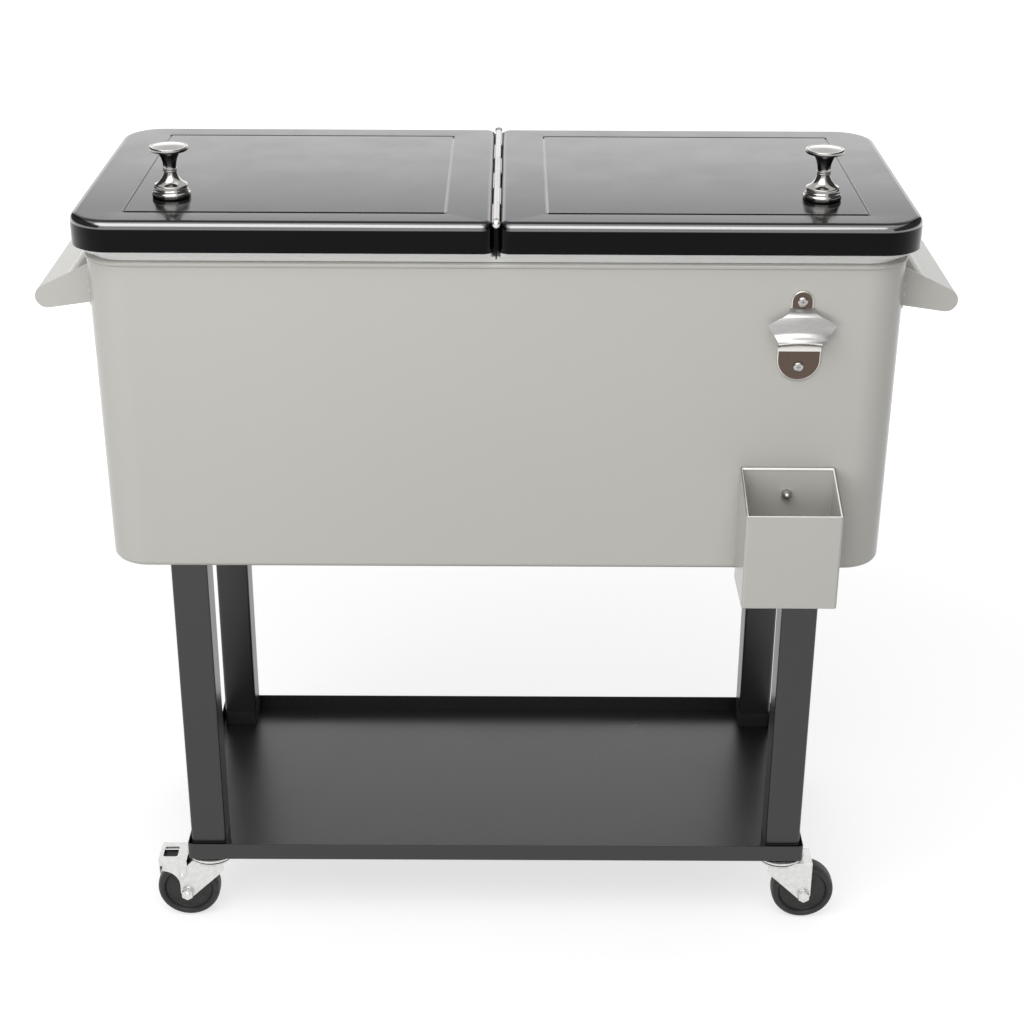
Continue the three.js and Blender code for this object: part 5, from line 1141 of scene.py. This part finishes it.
class COOLER_OT_stage(bpy.types.Operator):
    """Sets the pale floor, the studio lamps, the surroundings and the camera"""
    bl_idname = "cooler.stage"
    bl_label = "Stage"

    def floor(self):
        """Lays the floor, half a millimetre under the wheels."""
        bm = bmesh.new()
        bmesh.ops.create_grid(bm, x_segments=1, y_segments=1, size=12)
        bmesh.ops.translate(bm, vec=(0, 0, -0.5 * MM), verts=bm.verts)
        floor = add_object(bm, "studio_floor")

        # Matt seamless paper: white to the camera and to gloss, and it keeps the soft shadow. It
        # glows less near the object, up to 0.9 m, and is wholly white from 2.4 m.
        near, far, least = 0.9, 2.4, 0.66
        paper = bpy.data.materials.new("seamless paper, matt")
        paper.use_nodes = True
        tree = paper.node_tree
        tree.nodes.clear()
        spot = add_node(tree, "ShaderNodeTexCoord").outputs["Object"]
        away = add_node(tree, "ShaderNodeVectorMath", {"operation": "LENGTH"}, {"Vector": spot})
        share = add_node(tree, "ShaderNodeMapRange", {"interpolation_type": "SMOOTHSTEP"}, {
            "Value": away.outputs["Value"], "From Min": near, "From Max": far, "To Min": least, "To Max": 1})
        lift = add_node(tree, "ShaderNodeMath", {"operation": "MULTIPLY"},
                        {0: seen_share(tree), 1: share.outputs["Result"]})
        matt = add_node(tree, "ShaderNodeBsdfDiffuse", None, {"Color": (*linear("#b8b8b8"), 1)})
        glow = add_node(tree, "ShaderNodeEmission", None, {"Color": WHITE, "Strength": lift.outputs[0]})
        both = add_node(tree, "ShaderNodeAddShader", None, {0: matt.outputs[0], 1: glow.outputs[0]})
        add_node(tree, "ShaderNodeOutputMaterial", None, {"Surface": both.outputs[0]})
        floor.data.materials.append(paper)

    def surroundings(self, ambient):
        """Sets the even light from all round, which looks white itself."""
        world = bpy.data.worlds.new("studio_surroundings")
        bpy.context.scene.world = world
        world.use_nodes = True
        tree = world.node_tree
        tree.nodes.clear()
        level = add_node(tree, "ShaderNodeMapRange", None, {
            "Value": seen_share(tree), "To Min": ambient, "To Max": 1})
        sky = add_node(tree, "ShaderNodeBackground", None, {
            "Color": WHITE, "Strength": level.outputs["Result"]})
        add_node(tree, "ShaderNodeOutputWorld", None, {"Surface": sky.outputs[0]})

    def lamp(self, name, power, size, place, aim_height, gloss):
        """Hangs a softbox that aims at a height above the middle of the floor."""
        light = bpy.data.lights.new(name, "AREA")
        light.shape = "RECTANGLE"
        light.size, light.size_y = size
        light.energy = power
        stand = bpy.data.objects.new(name, light)
        stand.location = place
        stand.rotation_mode = "QUATERNION"
        stand.rotation_quaternion = (aim_height * UP - Vector(place)).to_track_quat("-Z", "Y")
        stand.visible_glossy = gloss
        bpy.context.scene.collection.objects.link(stand)

    def flag(self, side, sign, finish):
        """A dark cloth beside the picture, which only reflections show."""
        away, front, back, bottom, top = sign * 1.5, -1.9, 1.9, 0.95, 2.2
        bm = bmesh.new()
        bm.faces.new([bm.verts.new((away, y, z)) for y, z in (
            (front, bottom), (back, bottom), (back, top), (front, top))])
        cloth = add_object(bm, f"flag_{side}")
        cloth.data.materials.append(finish)
        cloth.visible_camera = cloth.visible_diffuse = cloth.visible_shadow = False

    def camera(self, stage):
        """Stands the camera where the photograph was taken from."""
        data = bpy.data.cameras.new("photo_camera")
        data.lens = stage.lens
        data.sensor_width = 36
        data.clip_start, data.clip_end = 0.05, 60
        camera = bpy.data.objects.new("photo_camera", data)
        p, y, r = stage.pitch, stage.yaw, stage.roll
        ahead = Vector((sin(y) * cos(p), cos(y) * cos(p), -sin(p)))
        level = Vector((cos(y), -sin(y), 0))
        over = level.cross(ahead)
        right = cos(r) * level + sin(r) * over
        upward = -sin(r) * level + cos(r) * over
        turned = Matrix((right, upward, -ahead)).transposed().to_4x4()
        camera.matrix_world = Matrix.Translation(stage.camera_place) @ turned
        bpy.context.scene.collection.objects.link(camera)
        bpy.context.scene.camera = camera

    def execute(self, context):
        stage = context.scene.cooler_stage
        self.floor()
        self.surroundings(stage.ambient)
        for name, power, size, place, aim_height, gloss in (
                ("key_softbox", stage.key, (3.0, 1.7), (-0.5, -1.6, 2.65), 0.7, True),
                ("front_softbox", stage.front, (2.6, 1.6), (-1.5, -3.4, 0.85), 0.7, False),
                ("top_softbox", stage.top, (2.6, 1.2), (0, 0.1, 3.0), 0.8, True),
                ("back_softbox", stage.back, (4.6, 0.8), (0, 3.4, 1.45), 0.9, True),
                ("fill_softbox", stage.fill, (3.0, 1.6), (0.8, 3.2, 0.95), 0.6, False)):
            self.lamp(name, power, size, place, aim_height, gloss)
        # Wool flag cloth: dark grey and matt, it gives polished metal and gloss something to mirror.
        cloth = start_material("flag cloth, wool", Base_Color=(*linear("#505050"), 1), Roughness=1.0)[0]
        for side, sign in SIDES:
            self.flag(side, sign, cloth)
        self.camera(stage)
        context.scene.view_settings.view_transform = "Standard"
        return {"FINISHED"}


STEPS = (
    COOLER_OT_stage, COOLER_OT_lids, COOLER_OT_tub, COOLER_OT_hinge, COOLER_OT_knobs, COOLER_OT_handles,
    COOLER_OT_opener, COOLER_OT_catcher, COOLER_OT_drain, COOLER_OT_stand, COOLER_OT_casters,
    COOLER_OT_pedals, COOLER_OT_kept,
)


class COOLER_PT_panel(bpy.types.Panel):
    """Lists the steps that build the cooler, with its sizes and finishes"""
    bl_idname = "COOLER_PT_panel"
    bl_label = "Patio Cooler"
    bl_space_type = "VIEW_3D"
    bl_region_type = "UI"
    bl_category = "Cooler"

    def draw(self, context):
        for step in STEPS:
            self.layout.operator(step.bl_idname)
        for group in (context.scene.cooler_sizes, context.scene.cooler_finishes, context.scene.cooler_stage):
            box = self.layout.box()
            for name in group.__annotations__:
                box.prop(group, name)


CLASSES = (CoolerSizes, CoolerFinishes, CoolerStage, *STEPS, COOLER_PT_panel)


def register():
    """Makes the operators, the panel and the settings known."""
    for made in CLASSES:
        bpy.utils.register_class(made)
    bpy.types.Scene.cooler_sizes = PointerProperty(type=CoolerSizes)
    bpy.types.Scene.cooler_finishes = PointerProperty(type=CoolerFinishes)
    bpy.types.Scene.cooler_stage = PointerProperty(type=CoolerStage)


def unregister():
    """Takes them out again."""
    for name in ("cooler_sizes", "cooler_finishes", "cooler_stage"):
        delattr(bpy.types.Scene, name)
    for made in reversed(CLASSES):
        bpy.utils.unregister_class(made)


def main():
    """Builds the whole cooler."""
    register()
    for step in STEPS:
        getattr(bpy.ops.cooler, step.bl_idname.split(".")[1])()


if __name__ == "__main__":
    main()
